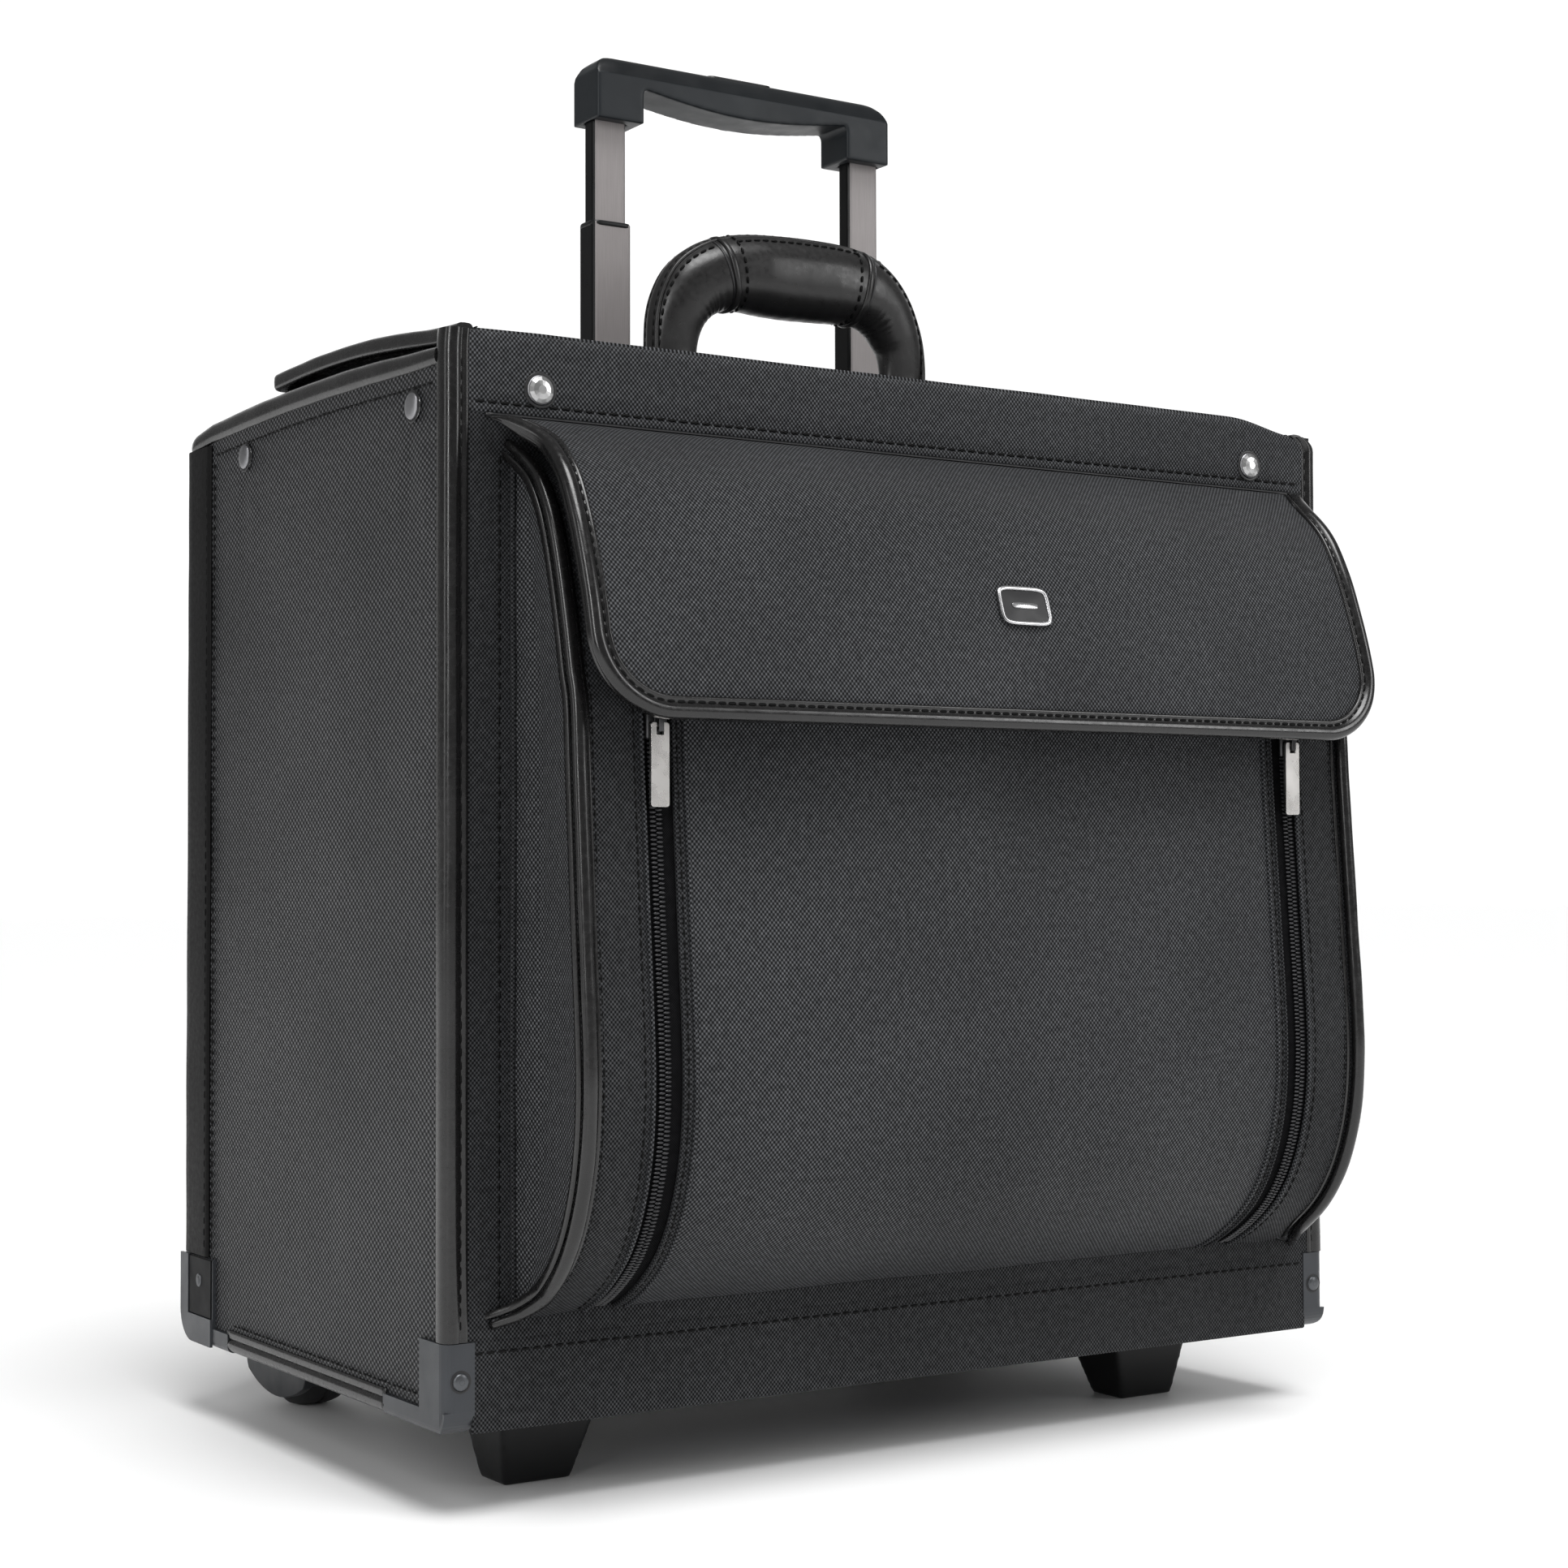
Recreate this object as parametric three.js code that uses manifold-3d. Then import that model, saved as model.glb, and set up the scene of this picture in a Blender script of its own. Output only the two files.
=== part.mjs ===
// Rolling flight case: a fabric-covered box with two top lids, a carry handle on the
// front lid, a bellied front pocket under a flap, two feet, two wheels and a two-stage
// telescopic trolley handle. Millimetres, +Z up, +Y towards the back.
//
// The solids are laid out in a working frame (x = 0 at the left outer face, y = 0 at the
// front face, z = 0 at the underside of the box) and the whole group is then shifted so
// that the origin is the centre of the bounding box on the floor.
import * as THREE from 'three';
import { mergeVertices } from 'three/addons/utils/BufferGeometryUtils.js';
import Module from 'manifold-3d';

const wasm = await Module();
wasm.setup();

// ---------------------------------------------------------------- driving dimensions
const W = 457; // box width, 18 in
const D = 275; // box depth without the pocket
const H = 424.4; // box height at the front top edge
const GROUND = -33.5; // floor below the underside of the box
const GAP = 0.3; // running gap between neighbouring solids
const BOARD = 3.5; // stiffened panel thickness
const INSET = 2; // panels lie this far inside the outer faces
const SKIN = 1.7; // leather and webbing bands laid on the panels

const FRONT_TOP = 419.5; // top edge of the front board
const BAND_Z = 392; // lower edge of the front top band
const HEM_Z = 35; // upper edge of the front bottom band

const SIDE_TOP = [[8.9, 411.0], [35, 411.0], [74, 412.2], [115, 413.0], [158, 413.2], [204, 412.6], [243, 411.6], [268.9, 409.5]];
const SIDE_CROWN = [[268.9, 416.0], [243, 420.0], [204, 421.2], [158, 422.0], [115, 421.8], [74, 421.0], [35, 418.6], [8.9, 418.0]];

// Outer line of the pocket piping, top to bottom (y, z). The stretch between z = 280 and
// z = 150 is straight, so that the zip sliders run along a line.
const POCKET = [
  [1.5, 383.5], [-8, 376.8], [-17, 368], [-25.5, 356], [-32, 341.5], [-37.2, 325], [-41.6, 308], [-45.6, 290], [-48.41, 280],
  [-58, 150], [-58.4, 131], [-56.6, 110], [-52.4, 93], [-45.8, 77.5], [-36.5, 64], [-24.6, 53], [-11, 44], [1.5, 38],
];
const POCKET_X0 = 30;
const PIPE_R = 2.2;
const POCKET_SKIN = 2.2;
const MOUTH_Z = 322; // top hem of the pocket front
const ZIP_X = 65.5;
const ZIP_TAPE = 11.4;

// Outer line of the flap (y, z), hinge to hem.
const FLAP = [[-1.5, 391.6], [-8, 389.6], [-16, 385.8], [-28, 377.8], [-40, 365.8], [-49, 349.5], [-56, 331.5], [-61.8, 313], [-66, 294], [-68.3, 280], [-69, 270]];
const FLAP_X0 = 28;
const FLAP_T = 4;
const FLAP_HEM = 271.5;
const FLAP_CORNER = 33;
const BINDING_W = 7;

const LID_Y1 = 187.5; // rear edge of the front lid
const LID_LOW = [[2.4, 420.2], [14, 420.5], [26, 421.4], [60, 425.0], [95, 427.6], [140, 428.7], [187.5, 427.7]];
const LID_HIGH = [[187.5, 434.0], [140, 434.9], [95, 433.8], [60, 431.0], [26, 427.6], [14, 426.6], [2.4, 426.2]];
const LID_X0 = 6;
const NOTCH = [146.5, 333.5, 157.5]; // x from, x to, y from

const TROLLEY_X = 240; // centre of the pair of tubes
const TROLLEY_PITCH = 145;
const TROLLEY_Y = 166; // front face of the outer tubes
const STAGE1 = [20.5, 14.4];
const STAGE2 = [17.8, 9.5];
const STAGE1_TOP = 519;
const GRIP_LOW = 567;
const GRIP_TOP = 598;
const GRIP_W = 166;
const GRIP_D = 24;

const WHEEL_R = 30;
const WHEEL_Y = 256;
const WHEEL_Z = GROUND + WHEEL_R;
const WHEEL_X = [43, 67];
const HANDLE_Y = 109;
const HANDLE_Z = 444; // pivot of the carry handle

// ---------------------------------------------------------------- materials
const mat = (color, roughness, metalness = 0) => new THREE.MeshStandardMaterial({ color, roughness, metalness });
const fabric = mat(0x35373a, 0.8);
const lining = mat(0x2b2c2e, 0.9);
const leather = mat(0x1c1a1b, 0.42);
const steel = mat(0xb8bcc2, 0.25, 1);
const bracketMat = mat(0x55595e, 0.45, 0.4);
const plastic = mat(0x3a4046, 0.5);
const blackPlastic = mat(0x141516, 0.5);
const tube = mat(0x8f8a8a, 0.4, 0.8);
const rubber = mat(0x1a1a1a, 0.85);

// ---------------------------------------------------------------- solid helpers
const solidOf = (geometry) => {
  const g = geometry.index ? geometry.toNonIndexed() : geometry.clone();
  g.deleteAttribute('normal');
  g.deleteAttribute('uv');
  const m = mergeVertices(g, 1e-4);
  return new wasm.Manifold(new wasm.Mesh({
    numProp: 3,
    vertProperties: Float32Array.from(m.attributes.position.array),
    triVerts: Uint32Array.from(m.index.array),
  }));
};

const geometryOf = (solid) => {
  const mesh = solid.getMesh();
  const g = new THREE.BufferGeometry();
  g.setAttribute('position', new THREE.BufferAttribute(Float32Array.from(mesh.vertProperties), 3));
  g.setIndex(new THREE.BufferAttribute(Uint32Array.from(mesh.triVerts), 1));
  g.computeVertexNormals();
  return g;
};

const box = (x0, x1, y0, y1, z0, z1) => solidOf(
  new THREE.BoxGeometry(x1 - x0, y1 - y0, z1 - z0).translate((x0 + x1) / 2, (y0 + y1) / 2, (z0 + z1) / 2),
);

const shapeOf = (points, holes = []) => {
  const s = new THREE.Shape(points.map(([a, b]) => new THREE.Vector2(a, b)));
  for (const h of holes) s.holes.push(new THREE.Path(h.map(([a, b]) => new THREE.Vector2(a, b))));
  return s;
};

const extrude = (points, depth, holes) => new THREE.ExtrudeGeometry(shapeOf(points, holes), { depth, bevelEnabled: false, steps: 1 });

// A (y, z) outline extruded along x.
const prismX = (points, x0, x1, holes) => {
  const g = extrude(points, x1 - x0, holes);
  g.applyMatrix4(new THREE.Matrix4().set(0, 0, 1, x0, 1, 0, 0, 0, 0, 1, 0, 0, 0, 0, 0, 1));
  return solidOf(g);
};
// An (x, z) outline extruded along y.
const prismY = (points, y0, y1, holes) => {
  const g = extrude(points, y1 - y0, holes);
  g.applyMatrix4(new THREE.Matrix4().set(1, 0, 0, 0, 0, 0, -1, y1, 0, 1, 0, 0, 0, 0, 0, 1));
  return solidOf(g);
};
// An (x, y) outline extruded along z.
const prismZ = (points, z0, z1, holes) => {
  const g = extrude(points, z1 - z0, holes);
  g.translate(0, 0, z0);
  return solidOf(g);
};

const rodX = (r, x0, x1, y, z, n = 16) => solidOf(
  new THREE.CylinderGeometry(r, r, x1 - x0, n).rotateZ(Math.PI / 2).translate((x0 + x1) / 2, y, z),
);
const rodY = (r, y0, y1, x, z, n = 14) => solidOf(
  new THREE.CylinderGeometry(r, r, y1 - y0, n).translate(x, (y0 + y1) / 2, z),
);

// A domed rivet head on the -Y side: base at y, rising to y - h.
const domeY = (r, h, x, y, z, n = 14) => solidOf(
  new THREE.LatheGeometry([[0, 0], [r, 0], [r * 0.92, h * 0.45], [r * 0.66, h * 0.82], [r * 0.3, h], [0, h]].map(([a, b]) => new THREE.Vector2(a, b)), n)
    .rotateX(Math.PI).translate(x, y, z),
);
const domeX = (r, h, x, y, z, side, n = 14) => solidOf(
  new THREE.LatheGeometry([[0, 0], [r, 0], [r * 0.92, h * 0.45], [r * 0.66, h * 0.82], [r * 0.3, h], [0, h]].map(([a, b]) => new THREE.Vector2(a, b)), n)
    .rotateZ(side < 0 ? Math.PI / 2 : -Math.PI / 2).translate(x, y, z),
);

const mirrorX = (solid) => {
  const g = geometryOf(solid).toNonIndexed();
  const p = g.attributes.position;
  for (let i = 0; i < p.count; i += 3) {
    for (let k = 0; k < 3; k++) p.setX(i + k, W - p.getX(i + k));
    const a = [p.getX(i), p.getY(i), p.getZ(i)];
    p.setXYZ(i, p.getX(i + 1), p.getY(i + 1), p.getZ(i + 1));
    p.setXYZ(i + 1, ...a);
  }
  return solidOf(g);
};

// Offset of an open line by d to its left-hand side, looking along it.
const offset = (line, d) => line.map(([a, b], i) => {
  const [a0, b0] = line[Math.max(0, i - 1)];
  const [a1, b1] = line[Math.min(line.length - 1, i + 1)];
  const l = Math.hypot(a1 - a0, b1 - b0);
  return [a - (b1 - b0) / l * d, b + (a1 - a0) / l * d];
});
const ribbon = (line, d0, d1) => [...offset(line, d0), ...offset(line, d1).reverse()];

// Quarter-round corners on an (a, b) rectangle.
const roundRect = (a0, a1, b0, b1, r, n = 6, corners = [1, 1, 1, 1]) => {
  const c = [[a1 - r, b0 + r, -90, a1, b0], [a1 - r, b1 - r, 0, a1, b1], [a0 + r, b1 - r, 90, a0, b1], [a0 + r, b0 + r, 180, a0, b0]];
  return c.flatMap(([ca, cb, start, ka, kb], k) => (corners[k]
    ? Array.from({ length: n + 1 }, (_, i) => {
      const t = (start + (90 * i) / n) * Math.PI / 180;
      return [ca + r * Math.cos(t), cb + r * Math.sin(t)];
    })
    : [[ka, kb]]));
};

const model = new THREE.Group();
const add = (name, solid, material) => {
  const mesh = new THREE.Mesh(geometryOf(solid), material);
  mesh.name = name;
  model.add(mesh);
};
const addPair = (left, right, solid, material) => {
  add(left, solid, material);
  add(right, mirrorX(solid), material);
};

// ---------------------------------------------------------------- the box
const RIVETS_FRONT = [[41, 403], [W - 43, 403]];
const RIVETS_SIDE = [[31, 397.6], [204, 400]];
const RIVET_HOLE = 2.3;
const SHANK = 1.9;

let frontPanel = box(3, W - 3, INSET, INSET + BOARD, 3, FRONT_TOP);
let frontBand = box(10.3, W - 10.3, 0, SKIN, BAND_Z, H);
let mouth = prismZ(roundRect(5.8, W - 5.8, 5.8, D - 5.8, 3, 3), 394, 408, [roundRect(7.3, W - 7.3, 7.3, D - 7.3, 2, 3)]);
for (const [x, z] of RIVETS_FRONT) {
  frontPanel = frontPanel.subtract(rodY(RIVET_HOLE, -5, 10, x, z, 12));
  frontBand = frontBand.subtract(rodY(RIVET_HOLE, -5, 10, x, z, 12));
  mouth = mouth.add(rodY(SHANK, -0.6, 7, x, z, 12)).add(domeY(5.8, 2, x, -0.3, z));
}
let leftPanel = prismX([[6, 8], [D - 5.8, 8], [D - 5.8, 409.2], ...SIDE_TOP.slice(0, 7).reverse().map(([y, z]) => [y, z - GAP]), [6, 410.5]], INSET, INSET + BOARD);
for (const [y, z] of RIVETS_SIDE) {
  leftPanel = leftPanel.subtract(rodX(RIVET_HOLE, 0, 8, y, z, 12));
  mouth = mouth.add(rodX(SHANK, 1, 7, y, z, 12)).add(domeX(5.6, 1.7, 1.7, y, z, -1));
  mouth = mouth.add(rodX(SHANK, W - 7, W - 1, y, z, 12)).add(domeX(5.6, 1.7, W - 1.7, y, z, 1));
}
add('front_panel', frontPanel.subtract(prismX([[-1, 0], [7.7, 0], [-1, 10.2]], 0, W)), fabric);
addPair('left_panel', 'right_panel', leftPanel, fabric);
add('mouth_frame', mouth, steel);

const wheelGap = (z1, y0, y1) => box(36.3, 73.7, y0, y1, -5, z1).add(box(W - 73.7, W - 36.3, y0, y1, -5, z1));
const rearCorner = prismX([[D - 10, 0], [D + 1, 0], [D + 1, 17.4], [D - 7, 4.1], [D - 10, 2.8]], 0, W); // the panels follow the rounded brackets
add('rear_panel', box(3, W - 3, D - 5.5, D - 2, 3, 412.2).subtract(wheelGap(35, 260, 290)).subtract(rearCorner), fabric);
add('base_panel', box(8, W - 8, 6, D - 5.8, 3, 7).subtract(wheelGap(35, 217.5, 290)).subtract(rearCorner), fabric);
add('divider_panel', box(6, W - 6, 184, 187, 7.4, 393.5), lining);

add('front_top_band', frontBand, fabric);
add('front_bottom_band', box(13.4, W - 13.4, 0, SKIN, GAP, HEM_Z), fabric);
add('rear_top_band', box(12.4, W - 12.4, D - SKIN, D, 384, 418.6), fabric);
add('rear_bottom_band', box(13.4, W - 13.4, D - SKIN, D, GAP, 39).subtract(wheelGap(35.5, 260, 290)), fabric);

// Leather edge trims, an angle section round each upright corner.
const cornerPlan = (lx, ly, t, r) => [
  [lx, 0], [lx, t], [t, t], [t, ly], [0, ly],
  ...Array.from({ length: 6 }, (_, i) => {
    const a = Math.PI + (i * Math.PI) / 10;
    return [r + r * Math.cos(a), r + r * Math.sin(a)];
  }),
];
const flipY = (points) => points.map(([x, y]) => [x, D - y]).reverse();
addPair('front_left_trim', 'front_right_trim', prismZ(cornerPlan(10, 8.6, 1.7, 4), HEM_Z + GAP, H), leather);
addPair('rear_left_trim', 'rear_right_trim', prismZ(flipY(cornerPlan(12, 30, 1.7, 4)), 39.6, 408.9), leather);
addPair('left_top_binding', 'right_top_binding', prismX([...SIDE_TOP, ...SIDE_CROWN], 0, 7.5), leather);
addPair('left_bottom_piping', 'right_bottom_piping', rodY(3.5, 55.6, D - 56.6, 3.6, 4, 12), leather);

// Corner brackets with their formed rivet heads.
const bracket = (flip, top, side, foot, rivet) => {
  const f = (p) => (flip ? flipY(p) : p);
  let b = prismZ(f(cornerPlan(13, side, 1.6, 4.5)), 0, top);
  b = b.add(prismX((flip ? [[D - foot, 0], [D - 4, 0], [D - 4, 8.5], [D - foot, 8.5]] : [[4, 0], [foot, 0], [foot, 8.5], [4, 8.5]]), 0, 1.6));
  b = b.add(prismZ(f([[13, 0.2], [13, 16], [9, foot], [0, foot], [0, 4.5], [1.3, 1.3], [4.5, 0.2]]), 0, 1.6));
  b = b.intersect(prismY(roundRect(0, 13, 0, 60, 3.2, 5, [1, 0, 0, 1]), -5, D + 5));
  const r = flip ? 14 : 9;
  const side_ = (t, d) => (flip ? roundRect(D - 80 - d, D - t, t, 60 + d, r - t, 8, [1, 0, 0, 0]) : roundRect(t, 80 + d, t, 60 + d, r - t, 8, [0, 0, 0, 1]));
  b = b.intersect(prismX(side_(0, 0), -5, 20));
  const shell = prismX(side_(0, 0), 0, 13).subtract(prismX(side_(1.6, 10), -1, 14));
  b = b.add(shell.intersect(flip ? box(0, 13, D - r, D, 0, r) : box(0, 13, 0, r, 0, r)).intersect(prismY(roundRect(0, 13, 0, 60, 3.2, 5, [1, 0, 0, 1]), -5, D + 5)));
  if (flip) {
    const rim = prismX([[D - side + 1, 0], [D, 0], [D, top], [D - 9.5, top], [D - 9.5, 12.5], [D - side + 1, 12.5]], -0.9, 0.4);
    b = b.add(rim.intersect(prismX(side_(0, 0), -5, 20)));
  }
  return b.add(rivet);
};
addPair('front_left_bracket', 'front_right_bracket', bracket(false, HEM_Z, 22, 55, domeY(3.6, 1.5, 7, 0.2, 20.6)), bracketMat);
addPair('rear_left_bracket', 'rear_right_bracket', bracket(true, 39.3, 38, 56, domeX(3.6, 1.2, 0.2, 253, 28.6, -1)), bracketMat);

// ---------------------------------------------------------------- the pocket
const lower = (z) => POCKET.filter(([, b]) => b <= z);
const frontLine = [[-38.0, MOUTH_Z], ...lower(MOUTH_Z - 4)];
const wall = prismX([...offset(POCKET, 2 * PIPE_R + GAP), [1.7, 46], [1.7, 376]], POCKET_X0, POCKET_X0 + 2.2);
const inBox = box(0, W, -100, 1.7, 36, 390);
const strip = prismX(ribbon(POCKET, 2 * PIPE_R + GAP, 2 * PIPE_R + GAP + POCKET_SKIN), POCKET_X0 + 1.5, ZIP_X - ZIP_TAPE / 2 - GAP);
addPair('pocket_gusset_left', 'pocket_gusset_right', wall.add(strip).intersect(inBox), fabric);
add('pocket_front_panel', prismX(ribbon(frontLine, 2 * PIPE_R + GAP, 2 * PIPE_R + GAP + POCKET_SKIN), ZIP_X + ZIP_TAPE / 2 + GAP, W - ZIP_X - ZIP_TAPE / 2 - GAP).intersect(inBox), fabric);
const tape = prismX(ribbon(frontLine, 2 * PIPE_R + GAP, 2 * PIPE_R + GAP + POCKET_SKIN), ZIP_X - ZIP_TAPE / 2, ZIP_X + ZIP_TAPE / 2);
const teeth = prismX(ribbon(frontLine, 2 * PIPE_R - 0.6, 2 * PIPE_R + 1), ZIP_X - 2.8, ZIP_X + 2.8);
addPair('zip_left', 'zip_right', tape.add(teeth).intersect(inBox), blackPlastic);

const pipePath = new THREE.CurvePath();
const pipeLine = offset(POCKET, PIPE_R).slice(0, -1).map(([y, z]) => new THREE.Vector3(POCKET_X0 + 2.5, y, z));
pipeLine[0].y = -0.9;
pipePath.add(new THREE.CatmullRomCurve3(pipeLine, false, 'centripetal'));
const ring = (r, n) => Array.from({ length: n }, (_, i) => [r * Math.cos((2 * Math.PI * i) / n), r * Math.sin((2 * Math.PI * i) / n)]);
const piping = solidOf(new THREE.ExtrudeGeometry(shapeOf(ring(PIPE_R, 8)), { steps: 34, bevelEnabled: false, extrudePath: pipePath.curves[0] }));
addPair('pocket_piping_left', 'pocket_piping_right', piping.intersect(inBox), leather);

// Zip sliders with a small bail, and the pull tabs hanging from them.
const SLIDER_Z = 270;
const surfY = (z) => -49 - (272 - z) * 9 / 122 + 2 * PIPE_R - 0.6; // top of the teeth
const sy = surfY(SLIDER_Z);
let slider = prismZ(roundRect(ZIP_X - 4.6, ZIP_X + 4.6, sy - 3.0, sy - 0.45, 1.0, 3), SLIDER_Z - 5, SLIDER_Z + 9);
slider = slider.add(box(ZIP_X - 1.1, ZIP_X + 1.1, sy - 6.4, sy - 2.5, SLIDER_Z - 2.4, SLIDER_Z + 6));
slider = slider.subtract(rodX(1.25, ZIP_X - 6, ZIP_X + 6, sy - 4.6, SLIDER_Z, 12));
addPair('zip_slider_left', 'zip_slider_right', slider, steel);
let pull = prismY(roundRect(ZIP_X - 4, ZIP_X + 4, SLIDER_Z - 31, SLIDER_Z + 1.15, 1.1, 3), sy - 5.4, sy - 3.8);
pull = pull.subtract(box(ZIP_X - 1.6, ZIP_X + 1.6, sy - 8, sy, SLIDER_Z - 3.6, SLIDER_Z + 0.9 + 4));
pull = pull.add(rodX(0.8, ZIP_X - 3, ZIP_X + 3, sy - 4.6, SLIDER_Z, 8));
addPair('zip_pull_left', 'zip_pull_right', pull, steel);

// ---------------------------------------------------------------- the flap
const flapOutline = (inset) => roundRect(FLAP_X0 + inset, W - FLAP_X0 - 1 + 1 - inset, FLAP_HEM + inset, 400, FLAP_CORNER - inset, 8, [1, 0, 0, 1]);
// The upper corners run out sideways to where the flap is sewn under the band.
const flare = (inset) => {
  const side = [[FLAP_X0 + 4, 358], [FLAP_X0, 364], [24.5, 374], [20, 383], [15.5, 391], [15.5, 400], [FLAP_X0 + 4, 400]].map(([x, z]) => [x + inset, z]);
  return prismY(side.slice().reverse(), -100, 20).add(prismY(side.map(([x, z]) => [W - x, z]), -100, 20));
};
const flapOuter = (inset) => prismY(flapOutline(inset), -100, 20).add(flare(inset));
const flapSlab = prismX(ribbon(FLAP, 0, FLAP_T), 14, W - 14);
const flapCut = flapOuter(BINDING_W);
const hingeClear = box(-5, W + 5, -100, -0.2, 200, 391.7);
add('flap_panel', flapSlab.intersect(flapCut).intersect(hingeClear), fabric);
const bindSlab = prismX(ribbon(FLAP.slice(1), -1.4, FLAP_T + 1.2), 14, W - 14);
add('flap_binding', bindSlab.intersect(flapOuter(0)).subtract(flapOuter(BINDING_W - GAP)), leather);
const emblemY = -58.3;
const emblem = prismY(roundRect(-13.5, 13.5, -9, 9, 2.5, 4), -1.8, 0);
add('emblem', emblem.rotate([-17.5, 0, 0]).translate([234, emblemY - 0.6, 323]), steel);

// ---------------------------------------------------------------- lids and carry handle
let frontLid = prismX([...LID_LOW, ...LID_HIGH], LID_X0, W - LID_X0);
frontLid = frontLid.add(box(12, W - 12, LID_Y1 - 5, LID_Y1, 420.4, 430));
frontLid = frontLid.subtract(box(NOTCH[0], NOTCH[1], NOTCH[2], 200, 410, 450));
add('front_lid', frontLid, fabric);
add('rear_lid', box(8.3, W - 8.3, 190.5, D - 2.5, 412.6, 418.8), fabric);

const LEGS = [[154, 178], [281, 303]];
let plate = prismZ(roundRect(146, 311, HANDLE_Y - 13, HANDLE_Y + 13, 8, 5), 435.4, 437.2);
for (const [x0, x1] of LEGS) {
  for (const [a, b] of [[x0 - 3.6, x0 - 0.5], [x1 + 0.5, x1 + 3.6]]) {
    plate = plate.add(prismX([...roundRect(HANDLE_Y - 6, HANDLE_Y + 6, 436, HANDLE_Z + 5.5, 5.5, 5, [0, 1, 1, 0])], a, b));
  }
  plate = plate.add(rodX(2, x0 - 3, x1 + 3, HANDLE_Y, HANDLE_Z, 12));
}
add('handle_plate', plate, bracketMat);
const handleFace = [
  [154, 438.5], [154, 452.5], [155, 467], [160, 481], [165.5, 489], [172, 494.5], [180, 499.3], [188, 502.4], [199, 505], [210, 506.3], [233, 507.4], [255.5, 507], [267, 505.4], [276, 502.6], [283, 498.4], [288, 494], [293.5, 487], [297.5, 479], [301, 469], [303, 456], [303, 438.5],
  [281, 438.5], [281, 452], [280, 458.5], [277, 463.5], [274, 467], [270, 469.6], [265, 471], [246, 470.6], [223.5, 470], [199, 471], [193, 470], [188, 468], [184, 464.8], [181, 461], [179, 456], [178, 451], [178, 438.5],
];
const half = [[6, 438.4], [6.2, 444], [8.5, 452], [12, 464], [15.5, 476], [16.5, 488], [14.5, 498], [9.5, 504.5], [4, 508]];
const handleSide = [...half.map(([a, z]) => [HANDLE_Y + a, z]), ...half.slice().reverse().map(([a, z]) => [HANDLE_Y - a, z])];
let handle = prismY(handleFace, 80, 140).intersect(prismX(handleSide, 140, 320));
for (const [x0, x1] of LEGS) {
  handle = handle.subtract(box(x0 - 2, x1 + 2, 95, 125, 430, HANDLE_Z)).add(rodX(6, x0 + 0.01, x1 - 0.01, HANDLE_Y, HANDLE_Z, 20));
  handle = handle.subtract(rodX(2.4, x0 - 3, x1 + 3, HANDLE_Y, HANDLE_Z, 12));
}
add('carry_handle', handle, leather);

// ---------------------------------------------------------------- trolley
const TUBE_Y = TROLLEY_Y + STAGE1[1] / 2;
const hollow = (cx, w, d, t, z0, z1) => {
  const o = roundRect(cx - w / 2, cx + w / 2, TUBE_Y - d / 2, TUBE_Y + d / 2, 2, 3);
  const i = roundRect(cx - w / 2 + t, cx + w / 2 - t, TUBE_Y - d / 2 + t, TUBE_Y + d / 2 - t, 1, 2);
  return prismZ(o, z0, z1, [i]);
};
const bezel0 = prismZ(roundRect(149.3, 330.7, 159.2, 188.4, 5, 4), 405, 438);
let bezel = bezel0;
for (const [side, cx] of [['left', TROLLEY_X - TROLLEY_PITCH / 2], ['right', TROLLEY_X + TROLLEY_PITCH / 2]]) {
  add(`trolley_rail_${side}`, hollow(cx, STAGE1[0] + 4.2, STAGE1[1] + 4.2, 1.5, 8, 404.6), bracketMat);
  add(`trolley_middle_tube_${side}`, hollow(cx, STAGE1[0], STAGE1[1], 0.85, 90, STAGE1_TOP).subtract(box(cx - 30, cx + 30, 150, 200, 80, 89)), tube);
  add(`trolley_inner_tube_${side}`, hollow(cx, STAGE2[0], STAGE2[1], 1.2, 138, GRIP_LOW + 17), tube);
  bezel = bezel.subtract(prismZ(roundRect(cx - STAGE1[0] / 2 - 0.6, cx + STAGE1[0] / 2 + 0.6, TROLLEY_Y - 0.6, TROLLEY_Y + STAGE1[1] + 0.6, 2.4, 3), 400, 445));
}
add('trolley_top_bezel', bezel, plastic);

const gx0 = TROLLEY_X - GRIP_W / 2;
const gx1 = TROLLEY_X + GRIP_W / 2;
const arc = Array.from({ length: 11 }, (_, i) => {
  const t = i / 10;
  return [gx1 - 26 - t * (GRIP_W - 52), 583.5 - 5.8 * Math.sin(Math.PI * t)];
});
const gripFace = [[gx0, GRIP_LOW], [gx0, GRIP_TOP - 7], [gx0 + 2, GRIP_TOP - 2.6], [gx0 + 6, GRIP_TOP - 0.4], [gx0 + 10, GRIP_TOP], [gx1 - 10, GRIP_TOP], [gx1 - 6, GRIP_TOP - 0.4], [gx1 - 2, GRIP_TOP - 2.6], [gx1, GRIP_TOP - 7], [gx1, GRIP_LOW], [gx1 - 25, GRIP_LOW], [gx1 - 25, 581], ...arc, [gx0 + 25, 581], [gx0 + 25, GRIP_LOW]];
const gripSide = roundRect(TUBE_Y - GRIP_D / 2, TUBE_Y + GRIP_D / 2, GRIP_LOW - 1, GRIP_TOP, 6, 5, [0, 1, 1, 0]);
let grip = prismY(gripFace, 140, 210).intersect(prismX(gripSide, 100, 400));
for (const cx of [TROLLEY_X - TROLLEY_PITCH / 2, TROLLEY_X + TROLLEY_PITCH / 2]) {
  grip = grip.subtract(box(cx - STAGE2[0] / 2 - GAP, cx + STAGE2[0] / 2 + GAP, TUBE_Y - STAGE2[1] / 2 - GAP, TUBE_Y + STAGE2[1] / 2 + GAP, 560, GRIP_LOW + 17.4));
}
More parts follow.
